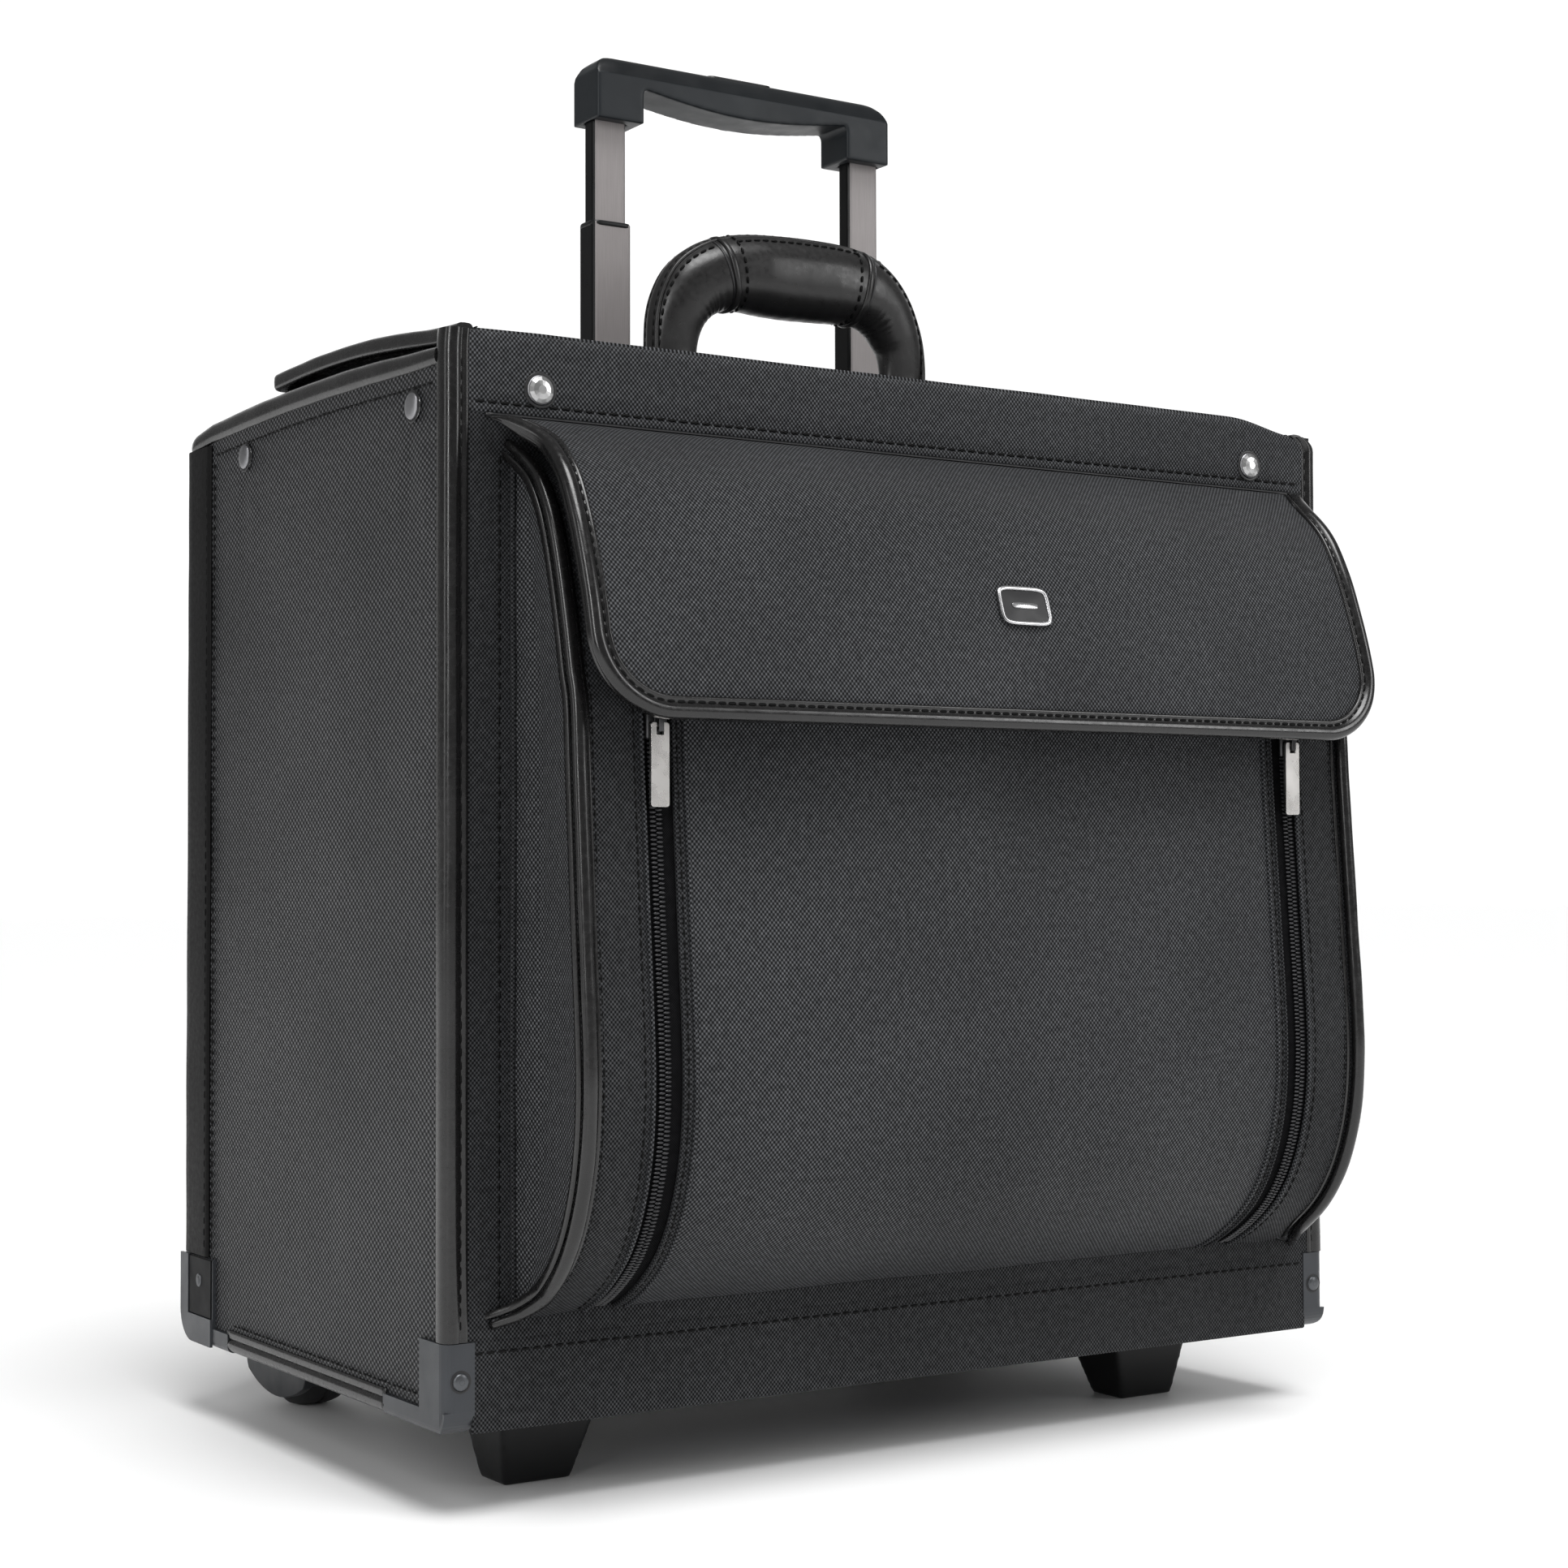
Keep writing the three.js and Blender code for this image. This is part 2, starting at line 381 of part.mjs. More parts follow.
grip = grip.subtract(prismZ(roundRect(TROLLEY_X - 19, TROLLEY_X + 19, TUBE_Y - 6, TUBE_Y + 6, 4, 4), 589.5, 605));
add('trolley_grip', grip, plastic);
add('release_button', prismZ(roundRect(TROLLEY_X - 18.4, TROLLEY_X + 18.4, TUBE_Y - 5.4, TUBE_Y + 5.4, 3.5, 4), 594, 599.2), blackPlastic);

// ---------------------------------------------------------------- feet and wheels
const foot = (() => {
  const low = [51, 82, 50, 72];
  const high = [47, 90, 44, 80];
  const g = new THREE.BufferGeometry();
  const v = [];
  for (const [[x0, x1, y0, y1], z] of [[low, GROUND], [high, GROUND + 26], [high, 2.7]]) {
    v.push([x0, y0, z], [x1, y0, z], [x1, y1, z], [x0, y1, z]);
  }
  const f = [0, 2, 1, 0, 3, 2, 8, 9, 10, 8, 10, 11];
  for (const k of [0, 4]) {
    for (let i = 0; i < 4; i++) {
      const j = (i + 1) % 4;
      f.push(k + i, k + j, k + 4 + j, k + i, k + 4 + j, k + 4 + i);
    }
  }
  g.setAttribute('position', new THREE.BufferAttribute(Float32Array.from(f.flatMap((i) => v[i])), 3));
  return solidOf(g);
})();
addPair('foot_left', 'foot_right', foot, blackPlastic);

const circle = (r, y, z, n) => Array.from({ length: n }, (_, i) => [y + r * Math.cos((2 * Math.PI * i) / n), z + r * Math.sin((2 * Math.PI * i) / n)]);
let housing = prismX(circle(37, WHEEL_Y, WHEEL_Z, 32), 38, 72);
housing = housing.add(box(38, 72, WHEEL_Y - 37, WHEEL_Y, -12, 12));
housing = housing.intersect(prismX(circle(70, WHEEL_Y, 41.5, 96), 0, 100));
housing = housing.subtract(rodX(33, 42, 68, WHEEL_Y, WHEEL_Z, 32)).subtract(box(42, 68, WHEEL_Y - 33, WHEEL_Y + 33, -40, WHEEL_Z));
housing = housing.subtract(rodX(3.4, 30, 80, WHEEL_Y, WHEEL_Z, 16));
addPair('wheel_housing_left', 'wheel_housing_right', housing, plastic);
const axle = rodX(3, 36.6, 73.4, WHEEL_Y, WHEEL_Z, 16).add(rodX(5.2, 36.4, 37.7, WHEEL_Y, WHEEL_Z, 16)).add(rodX(5.2, 72.3, 73.6, WHEEL_Y, WHEEL_Z, 16));
addPair('wheel_axle_left', 'wheel_axle_right', axle, steel);
const wheelLine = [[3.4, WHEEL_X[0]], [22, WHEEL_X[0]], [27, WHEEL_X[0] + 1], [29.4, WHEEL_X[0] + 3.5], [WHEEL_R, WHEEL_X[0] + 7], [WHEEL_R, WHEEL_X[1] - 7], [29.4, WHEEL_X[1] - 3.5], [27, WHEEL_X[1] - 1], [22, WHEEL_X[1]], [3.4, WHEEL_X[1]], [3.4, WHEEL_X[0]]];
const wheel = solidOf(new THREE.LatheGeometry(wheelLine.map(([r, h]) => new THREE.Vector2(r, h)), 36).rotateZ(-Math.PI / 2).translate(0, WHEEL_Y, WHEEL_Z));
addPair('wheel_left', 'wheel_right', wheel, rubber);

// Origin: centre of the bounding box, on the floor.
const bounds = new THREE.Box3().setFromObject(model);
model.position.set(-(bounds.min.x + bounds.max.x) / 2, -(bounds.min.y + bounds.max.y) / 2, -bounds.min.z);

export default model;
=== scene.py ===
# Looks of the rolling flight case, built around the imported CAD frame.
import math

import bmesh
import bpy
import numpy as np
from mathutils import Matrix, Vector, noise


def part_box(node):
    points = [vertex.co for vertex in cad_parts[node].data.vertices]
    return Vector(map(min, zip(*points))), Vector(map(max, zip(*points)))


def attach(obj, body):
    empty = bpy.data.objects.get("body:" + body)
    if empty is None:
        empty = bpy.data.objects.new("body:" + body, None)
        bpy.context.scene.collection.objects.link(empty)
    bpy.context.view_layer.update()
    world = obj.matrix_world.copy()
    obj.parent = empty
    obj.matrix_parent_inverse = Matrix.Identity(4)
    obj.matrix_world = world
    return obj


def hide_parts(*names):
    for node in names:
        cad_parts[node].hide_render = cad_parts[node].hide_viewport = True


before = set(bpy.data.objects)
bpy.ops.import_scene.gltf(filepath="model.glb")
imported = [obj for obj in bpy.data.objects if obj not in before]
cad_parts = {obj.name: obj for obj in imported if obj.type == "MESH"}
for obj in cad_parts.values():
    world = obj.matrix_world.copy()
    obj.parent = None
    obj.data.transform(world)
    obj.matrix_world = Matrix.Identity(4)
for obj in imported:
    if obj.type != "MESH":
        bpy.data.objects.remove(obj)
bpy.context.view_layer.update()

# ------------------------------------------------------------------ working frame
# mm, x = 0 at the left face, y = 0 at the front face, z = 0 under the box.
_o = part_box("front_panel")[0]
OFF = np.array([_o.x, _o.y, _o.z]) * 1000 - np.array([3.0, 2.0, 3.0])
WID, DEP = 457.0, 275.0


def W(p):
    return (np.asarray(p, float) + OFF) / 1000


# ------------------------------------------------------------------ materials
def _nt(name):
    m = bpy.data.materials.new(name)
    m.use_nodes = True
    nt = m.node_tree
    for n in list(nt.nodes):
        nt.nodes.remove(n)
    out = nt.nodes.new("ShaderNodeOutputMaterial")
    b = nt.nodes.new("ShaderNodeBsdfPrincipled")
    nt.links.new(b.outputs[0], out.inputs[0])
    return m, nt, b


class N:
    """Small helper for node trees."""

    def __init__(self, nt):
        self.nt = nt

    def val(self, sock, v):
        if hasattr(v, "links") or hasattr(v, "is_output"):
            self.nt.links.new(v, sock)
        else:
            sock.default_value = v

    def math(self, op, a, b=None, c=None, clamp=False):
        n = self.nt.nodes.new("ShaderNodeMath")
        n.operation = op
        n.use_clamp = clamp
        self.val(n.inputs[0], a)
        if b is not None:
            self.val(n.inputs[1], b)
        if c is not None:
            self.val(n.inputs[2], c)
        return n.outputs[0]

    def noise(self, vec, scale, detail=2.0, rough=0.5, dim="3D"):
        n = self.nt.nodes.new("ShaderNodeTexNoise")
        n.noise_dimensions = dim
        n.inputs["Scale"].default_value = scale
        n.inputs["Detail"].default_value = detail
        n.inputs["Roughness"].default_value = rough
        if vec is not None:
            self.nt.links.new(vec, n.inputs["Vector"])
        return n.outputs["Fac"]

    def ramp(self, fac, stops):
        n = self.nt.nodes.new("ShaderNodeValToRGB")
        e = n.color_ramp.elements
        while len(e) < len(stops):
            e.new(0.5)
        for el, (p, c) in zip(e, stops):
            el.position = p
            el.color = (*c, 1) if len(c) == 3 else c
        self.nt.links.new(fac, n.inputs[0])
        return n.outputs[0]

    def rng(self, fac, a0, a1, b0, b1):
        n = self.nt.nodes.new("ShaderNodeMapRange")
        self.val(n.inputs[0], fac)
        for i, v in enumerate((a0, a1, b0, b1)):
            n.inputs[i + 1].default_value = v
        return n.outputs[0]

    def bump(self, h, strength, dist, normal=None):
        n = self.nt.nodes.new("ShaderNodeBump")
        n.inputs["Strength"].default_value = strength
        n.inputs["Distance"].default_value = dist
        self.nt.links.new(h, n.inputs["Height"])
        if normal is not None:
            self.nt.links.new(normal, n.inputs["Normal"])
        return n.outputs[0]

    def obj(self):
        n = self.nt.nodes.new("ShaderNodeTexCoord")
        return n.outputs["Object"]

    def uv(self):
        n = self.nt.nodes.new("ShaderNodeTexCoord")
        return n.outputs["UV"]

    def sep(self, v):
        n = self.nt.nodes.new("ShaderNodeSeparateXYZ")
        self.nt.links.new(v, n.inputs[0])
        return n.outputs

    def mix(self, fac, a, b):
        n = self.nt.nodes.new("ShaderNodeMix")
        n.data_type = "RGBA"
        self.val(n.inputs[0], fac)
        self.val(n.inputs[6], a)
        self.val(n.inputs[7], b)
        return n.outputs[2]


def fabric(name, dark, light, pitch=(1.1, 1.3), rough=0.5, spec=0.3, sheen=0.03, bump=0.6, uv=True, gamma=1.2):
    """Two-tone basket weave; UVs are in metres, pitch is the yarn spacing in mm across and along."""
    m, nt, b = _nt(name)
    k = N(nt)
    src = k.uv() if uv else k.obj()
    x, y, z = k.sep(src)
    if not uv:
        u, v = k.math("ADD", x, y), z
    else:
        u, v = x, y
    fu, fv = math.pi / (pitch[0] / 1000), math.pi / (pitch[1] / 1000)
    wob = k.noise(src, 160.0, 2.0)
    wob2 = k.noise(src, 55.0, 2.0)
    su = k.math("SINE", k.math("ADD", k.math("MULTIPLY", u, fu), k.math("MULTIPLY", wob, 0.9)))
    sv = k.math("SINE", k.math("ADD", k.math("MULTIPLY", v, fv), k.math("MULTIPLY", wob2, 1.6)))
    h = k.math("MULTIPLY_ADD", k.math("MULTIPLY", su, sv), 0.5, 0.5)
    # fine yarn twist inside each float
    tw = k.math("SINE", k.math("MULTIPLY", k.math("ADD", u, v), math.pi / 0.00026))
    h2 = k.math("MULTIPLY_ADD", tw, 0.06, h)
    big = k.noise(src, 11.0, 3.0)
    mid = k.noise(src, 330.0, 2.0)
    tone = k.math("MULTIPLY", k.math("POWER", h, gamma), k.rng(mid, 0.25, 0.75, 0.62, 1.25))
    tone = k.math("MULTIPLY", tone, k.rng(big, 0.3, 0.7, 0.84, 1.14))
    nt.links.new(k.mix(tone, (*dark, 1), (*light, 1)), b.inputs["Base Color"])
    nt.links.new(k.rng(tone, 0.0, 1.0, rough + 0.16, rough - 0.08), b.inputs["Roughness"])
    nt.links.new(k.rng(tone, 0.0, 1.0, spec * 0.25, spec * 1.7), b.inputs["Specular IOR Level"])
    b.inputs["Sheen Weight"].default_value = sheen
    b.inputs["Sheen Roughness"].default_value = 0.5
    soft = k.noise(src, 26.0, 3.0)
    nb = k.bump(soft, 0.35, 0.004)
    nt.links.new(k.bump(h2, bump, 0.0005, nb), b.inputs["Normal"])
    return m


def leather(name, base=(0.0085, 0.0078, 0.0078), rough=0.3, grain=0.12, spec=0.5):
    m, nt, b = _nt(name)
    k = N(nt)
    o = k.obj()
    v = nt.nodes.new("ShaderNodeTexVoronoi")
    v.feature = "F1"
    v.inputs["Scale"].default_value = 1500.0
    nt.links.new(o, v.inputs["Vector"])
    fine = k.noise(o, 2600.0, 3.0)
    crease = k.noise(o, 420.0, 3.0, 0.6)
    hgt = k.math("ADD", k.math("MULTIPLY", v.outputs["Distance"], 0.6), k.math("ADD", k.math("MULTIPLY", fine, 0.35), k.math("MULTIPLY", crease, 0.45)))
    nt.links.new(k.bump(hgt, grain, 0.00022), b.inputs["Normal"])
    wear = k.noise(o, 38.0, 4.0)
    nt.links.new(k.mix(k.rng(wear, 0.35, 0.75, 0.0, 1.0), (*base, 1), (*[c * 1.7 for c in base], 1)), b.inputs["Base Color"])
    nt.links.new(k.rng(crease, 0.3, 0.7, rough - 0.06, rough + 0.08), b.inputs["Roughness"])
    b.inputs["Specular IOR Level"].default_value = spec
    return m


def plain(name, base, rough, metal=0.0, grain=0.15, gscale=2200.0, var=0.12, spec=0.5, dist=0.00012):
    m, nt, b = _nt(name)
    k = N(nt)
    o = k.obj()
    fine = k.noise(o, gscale, 3.0)
    big = k.noise(o, 30.0, 3.0)
    nt.links.new(k.bump(fine, grain, dist), b.inputs["Normal"])
    lo, hi = [c * (1 - var) for c in base], [c * (1 + var) for c in base]
    nt.links.new(k.mix(k.rng(big, 0.3, 0.7, 0.0, 1.0), (*lo, 1), (*hi, 1)), b.inputs["Base Color"])
    nt.links.new(k.rng(k.noise(o, 90.0, 4.0), 0.3, 0.7, rough - 0.05, rough + 0.06), b.inputs["Roughness"])
    b.inputs["Metallic"].default_value = metal
    b.inputs["Specular IOR Level"].default_value = spec
    return m


def brushed(name, base, rough, metal=1.0, along="z"):
    m, nt, b = _nt(name)
    k = N(nt)
    o = k.obj()
    mp = nt.nodes.new("ShaderNodeMapping")
    mp.inputs["Scale"].default_value = {"z": (1, 1, 0.02), "x": (0.02, 1, 1)}[along]
    nt.links.new(o, mp.inputs["Vector"])
    st = k.noise(mp.outputs[0], 3200.0, 3.0)
    nt.links.new(k.bump(st, 0.08, 0.0001), b.inputs["Normal"])
    nt.links.new(k.mix(k.rng(st, 0.3, 0.7, 0.0, 1.0), (*[c * 0.92 for c in base], 1), (*[min(1, c * 1.06) for c in base], 1)), b.inputs["Base Color"])
    nt.links.new(k.rng(k.noise(o, 60.0, 3.0), 0.3, 0.7, rough - 0.03, rough + 0.05), b.inputs["Roughness"])
    b.inputs["Metallic"].default_value = metal
    return m


M = {
    "fabric": fabric("mat_fabric", (0.0012, 0.0013, 0.0016), (0.093, 0.097, 0.105), pitch=(0.95, 1.05), rough=0.44, gamma=1.9, bump=0.8),
    "fabric_side": fabric("mat_fabric_side", (0.0022, 0.0023, 0.0027), (0.082, 0.084, 0.091), pitch=(1.75, 1.3), rough=0.32, spec=0.5, sheen=0.0, bump=1.0, gamma=2.4),
    # darker fabric: the bands' own cloth, and painted shade on the front board beside the pocket and on the recessed
    # pocket strips
    "fabric_band": fabric("mat_band_fabric_and_painted_shade", (0.0009, 0.0009, 0.0011), (0.05, 0.052, 0.056), pitch=(0.86, 0.96), spec=0.2, gamma=1.5),
    "gusset": fabric("mat_gusset", (0.0025, 0.0026, 0.003), (0.135, 0.139, 0.147), pitch=(1.15, 1.1), rough=0.4, spec=0.35, sheen=0.02, bump=0.8, gamma=2.2),
    "lining": fabric("mat_lining", (0.008, 0.0083, 0.009), (0.028, 0.029, 0.031), pitch=(0.7, 0.7), rough=0.8, spec=0.1, sheen=0.0, bump=0.3, uv=False),
    "leather": leather("mat_leather", base=(0.0048, 0.0046, 0.0047), rough=0.23, grain=0.03, spec=0.56),
    "leather_handle": leather("mat_leather_handle", base=(0.0085, 0.0082, 0.0083), rough=0.32, grain=0.05, spec=0.48),
    # darker, low-gloss copy of the trim leather for the rear corners: painted shade
    "leather_rear": leather("mat_rear_leather_painted_shade", base=(0.003, 0.0029, 0.003), rough=0.46, grain=0.03, spec=0.1),
    "thread": plain("mat_thread", (0.0012, 0.0012, 0.0013), 0.6, grain=0.3, gscale=5200.0, spec=0.15),
    "nickel": plain("mat_nickel", (0.55, 0.55, 0.56), 0.26, metal=1.0, grain=0.0),
    "rivet": plain("mat_rivet", (0.27, 0.27, 0.28), 0.42, metal=1.0, grain=0.0),
    "rivet_dark": plain("mat_rivet_dark", (0.09, 0.094, 0.1), 0.34, metal=0.8, grain=0.0),
    "slider": plain("mat_slider", (0.06, 0.06, 0.062), 0.32, metal=0.9, grain=0.0),
    # near-black fill: the emblem's own dark field, and painted shadow in the band shadow cord, the rivet seat rings
    # and the handle sleeve grooves
    "inlay": plain("mat_dark_fill_and_painted_shade", (0.006, 0.006, 0.007), 0.4, grain=0.05),
    # near-black, low-gloss fill for the rear brackets' recessed field: painted shade
    "darkmetal": plain("mat_bracket_recess_painted_shade", (0.003, 0.0032, 0.0036), 0.42, grain=0.05, spec=0.06),
    "chrome_pull": plain("mat_pull", (0.72, 0.7, 0.68), 0.27, metal=1.0, grain=0.0, var=0.04),
    "bracket": plain("mat_bracket", (0.036, 0.039, 0.044), 0.36, metal=0.35, grain=0.25, gscale=3000.0),
    "grip": plain("mat_grip", (0.0105, 0.013, 0.0155), 0.42, grain=0.2, gscale=3600.0, spec=0.28),
    "blackplastic": plain("mat_black_plastic", (0.0065, 0.0067, 0.0072), 0.36, grain=0.12, gscale=3000.0, spec=0.3),
    # darker copy of the grip plastic for the grip's top: painted shade
    "grip_top_painted_shade": plain("mat_grip_top_painted_shade", (0.0065, 0.008, 0.0095), 0.36, grain=0.2, gscale=3600.0, spec=0.25),
    "housing": plain("mat_housing", (0.02, 0.022, 0.026), 0.45, grain=0.2, gscale=3000.0, spec=0.4),
    "rubber": plain("mat_rubber", (0.018, 0.018, 0.019), 0.7, grain=0.4, gscale=1500.0),
    "tube": brushed("mat_tube", (0.27, 0.25, 0.248), 0.5, metal=0.2),
    "tubeblack": plain("mat_tube_black", (0.0028, 0.003, 0.0034), 0.32, grain=0.06, spec=0.2),
    "rail": plain("mat_rail", (0.02, 0.02, 0.022), 0.45, metal=0.2),
    "steel": brushed("mat_steel", (0.5, 0.5, 0.5), 0.3, along="x"),
    "tape": fabric("mat_tape", (0.0012, 0.0012, 0.0014), (0.008, 0.008, 0.009), pitch=(0.5, 0.5), rough=0.8, spec=0.08, sheen=0.0, bump=0.3),
    "teeth": plain("mat_teeth", (0.016, 0.016, 0.018), 0.3, grain=0.0),
}

# ------------------------------------------------------------------ mesh helpers
PIECES = {}


def finish_piece(ob, mat, body, replaces=()):
    for k in (mat if isinstance(mat, (list, tuple)) else [mat]):
        ob.data.materials.append(M[k])
    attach(ob, body)
    if replaces:
        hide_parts(*([replaces] if isinstance(replaces, str) else replaces))
    PIECES[ob.name] = ob
    return ob


def make(name, verts, faces, mat, body, uvs=None, replaces=(), smooth=True, fmat=None, sharp=None):
    me = bpy.data.meshes.new(name)
    me.from_pydata(W(verts).tolist(), [], [tuple(int(i) for i in f) for f in faces])
    if uvs is not None:
        layer = me.uv_layers.new(name="UVMap")
        idx = np.zeros(len(me.loops), np.int32)
        me.loops.foreach_get("vertex_index", idx)
        layer.data.foreach_set("uv", (np.asarray(uvs, float)[idx] / 1000).ravel())
    if fmat is not None:
        me.polygons.foreach_set("material_index", np.asarray(fmat, np.int32))
    me.polygons.foreach_set("use_smooth", [smooth] * len(me.polygons))
    me.validate()
    me.update()
    ob = bpy.data.objects.new(name, me)
    bpy.context.scene.collection.objects.link(ob)
    bm = bmesh.new()
    bm.from_mesh(me)
    bmesh.ops.recalc_face_normals(bm, faces=bm.faces)
    bm.to_mesh(me)
    bm.free()
    if sharp is not None:
        set_sharp(me, sharp)
    return finish_piece(ob, mat, body, replaces)


def set_sharp(me, deg):
    bm = bmesh.new()
    bm.from_mesh(me)
    c = math.radians(deg)
    for e in bm.edges:
        e.smooth = not (len(e.link_faces) == 2 and e.calc_face_angle(0) > c)
    bm.to_mesh(me)
    bm.free()


def catmull(pts, per=14):
    """Dense centripetal curve through pts."""
    p = np.asarray(pts, float)
    q = np.vstack([2 * p[0] - p[1], p, 2 * p[-1] - p[-2]])
    out = []
    for i in range(1, len(q) - 2):
        p0, p1, p2, p3 = q[i - 1], q[i], q[i + 1], q[i + 2]
        t0 = 0
        t1 = t0 + np.linalg.norm(p1 - p0) ** 0.5
        t2 = t1 + np.linalg.norm(p2 - p1) ** 0.5
        t3 = t2 + np.linalg.norm(p3 - p2) ** 0.5
        for t in np.linspace(t1, t2, per, endpoint=False):
            a1 = (t1 - t) / (t1 - t0) * p0 + (t - t0) / (t1 - t0) * p1
            a2 = (t2 - t) / (t2 - t1) * p1 + (t - t1) / (t2 - t1) * p2
            a3 = (t3 - t) / (t3 - t2) * p2 + (t - t2) / (t3 - t2) * p3
            b1 = (t2 - t) / (t2 - t0) * a1 + (t - t0) / (t2 - t0) * a2
            b2 = (t3 - t) / (t3 - t1) * a2 + (t - t1) / (t3 - t1) * a3
            out.append((t2 - t) / (t2 - t1) * b1 + (t - t1) / (t2 - t1) * b2)
    out.append(p[-1])
    return np.array(out)


def resample(pts, step=None, n=None):
    p = np.asarray(pts, float)
    d = np.r_[0, np.cumsum(np.linalg.norm(np.diff(p, axis=0), axis=1))]
    if n is None:
        n = max(2, int(round(d[-1] / step)) + 1)
    t = np.linspace(0, d[-1], n)
    return np.stack([np.interp(t, d, p[:, i]) for i in range(p.shape[1])], 1), t


def unit(v):
    v = np.asarray(v, float)
    return v / np.maximum(np.linalg.norm(v, axis=-1, keepdims=True), 1e-9)


class Prof:
    """A (y, z) line from top to bottom; N points outwards (to the front)."""

    def __init__(self, pts):
        self.p, self.s = resample(catmull(pts), 0.5)
        t = unit(np.gradient(self.p, axis=0))
        n = np.stack([t[:, 1], -t[:, 0]], 1)
        k = np.ones(9) / 9
        n = np.stack([np.convolve(np.pad(n[:, i], 4, mode="edge"), k, "valid") for i in range(2)], 1)
        self.n = unit(n)
        self.L = self.s[-1]

    def at(self, s, h=0.0):
        s = np.asarray(s, float)
        y = np.interp(s, self.s, self.p[:, 0]) + np.interp(s, self.s, self.n[:, 0]) * h
        z = np.interp(s, self.s, self.p[:, 1]) + np.interp(s, self.s, self.n[:, 1]) * h
        return y, z

    def normal(self, s):
        return np.stack([np.zeros_like(np.asarray(s, float)), np.interp(s, self.s, self.n[:, 0]), np.interp(s, self.s, self.n[:, 1])], -1)

    def s_of_z(self, z):
        return float(np.interp(-z, -self.p[:, 1], self.s))

    def P(self, x, s, h=0.0):
        y, z = self.at(s, h)
        return np.stack([np.broadcast_to(x, np.shape(y)).astype(float), y, z], -1)


def slab(name, top, uv, t, mat, body, replaces=(), flip=False, rim=0.5, back=None):
    """A sheet with thickness: top is (m, n, 3), its outer side; the rim is rounded."""
    m, n = top.shape[:2]
    du, dv = np.gradient(top, axis=0), np.gradient(top, axis=1)
    nn = unit(np.cross(du, dv))
    if flip:
        nn = -nn
    bot = back if back is not None else top - nn * t
    V = [top.reshape(-1, 3), bot.reshape(-1, 3)]
    U = [uv.reshape(-1, 2), uv.reshape(-1, 2)]
    F = []
    idx = np.arange(m * n).reshape(m, n)
    a, b, c, d = idx[:-1, :-1].ravel(), idx[1:, :-1].ravel(), idx[1:, 1:].ravel(), idx[:-1, 1:].ravel()
    F += list(zip(a, b, c, d))
    F += list(zip(d + m * n, c + m * n, b + m * n, a + m * n))
    loop = np.r_[idx[:, 0], idx[-1, 1:], idx[-2::-1, -1], idx[0, -2:0:-1]]
    # rounded rim: one ring halfway, pushed out by rim
    P = top.reshape(-1, 3)
    B = bot.reshape(-1, 3)
    mid = (P[loop] + B[loop]) / 2
    nxt, prv = np.roll(P[loop], -1, 0), np.roll(P[loop], 1, 0)
    tang = unit(nxt - prv)
    outw = unit(np.cross(tang, nn.reshape(-1, 3)[loop]))
    cen = P.mean(0)
    sign = np.sign(np.einsum("ij,ij->i", outw, mid - cen).sum())
    mid = mid + outw * sign * rim * t / 2
    k0 = 2 * m * n
    V.append(mid)
    U.append(uv.reshape(-1, 2)[loop])
    L = len(loop)
    for i in range(L):
        j = (i + 1) % L
        F.append((loop[i], k0 + i, k0 + j, loop[j]))
        F.append((k0 + i, loop[i] + m * n, loop[j] + m * n, k0 + j))
    return make(name, np.vstack(V), F, mat, body, uvs=np.vstack(U), replaces=replaces, sharp=50)


def sweep(name, pts, U, Vv, sec, mat, body, replaces=(), closed=False, cap=True, sharp=None, scale=None, fmat=None, raw=False):
    """sec (s, 2) closed polygon, or (k, s, 2), carried along pts with local axes U and Vv."""
    pts = np.asarray(pts, float)
    k = len(pts)
    sec = np.asarray(sec, float)
    if sec.ndim == 2:
        sec = np.broadcast_to(sec, (k, *sec.shape))
    if scale is not None:
        sec = sec * np.asarray(scale, float).reshape(k, 1, -1)
    s = sec.shape[1]
    U, Vv = np.broadcast_to(U, (k, 3)), np.broadcast_to(Vv, (k, 3))
    verts = pts[:, None] + sec[..., :1] * U[:, None] + sec[..., 1:] * Vv[:, None]
    d = np.r_[0, np.cumsum(np.linalg.norm(np.diff(pts, axis=0), axis=1))]
    per = np.r_[0, np.cumsum(np.linalg.norm(np.diff(sec[0], axis=0), axis=1))]
    uv = np.stack(np.broadcast_arrays(d[:, None], per[None]), -1).reshape(-1, 2)
    F, FM = [], []
    rows = k if closed else k - 1
    for i in range(rows):
        i2 = (i + 1) % k
        for j in range(s):
            j2 = (j + 1) % s
            F.append((i * s + j, i2 * s + j, i2 * s + j2, i * s + j2))
            FM.append(0 if fmat is None else fmat[j])
    if cap and not closed:
        F.append(tuple(range(s - 1, -1, -1)))
        F.append(tuple((k - 1) * s + j for j in range(s)))
        FM += [0, 0]
    if raw:
        return verts.reshape(-1, 3), F, uv, FM
    return make(name, verts.reshape(-1, 3), F, mat, body, uvs=uv, replaces=replaces, sharp=sharp, fmat=FM if fmat is not None else None)


def frames(pts, up):
    """Tangents, and axes U (sideways) and V (along up) for a path."""
    pts = np.asarray(pts, float)
    t = unit(np.gradient(pts, axis=0))
    up = np.broadcast_to(np.asarray(up, float), pts.shape)
    v = unit(up - np.einsum("ij,ij->i", up, t)[:, None] * t)
    return t, np.cross(v, t), v


def circle(r, n=12, ry=None):
    a = np.linspace(0, 2 * math.pi, n, endpoint=False)
    return np.stack([r * np.cos(a), (ry or r) * np.sin(a)], 1)


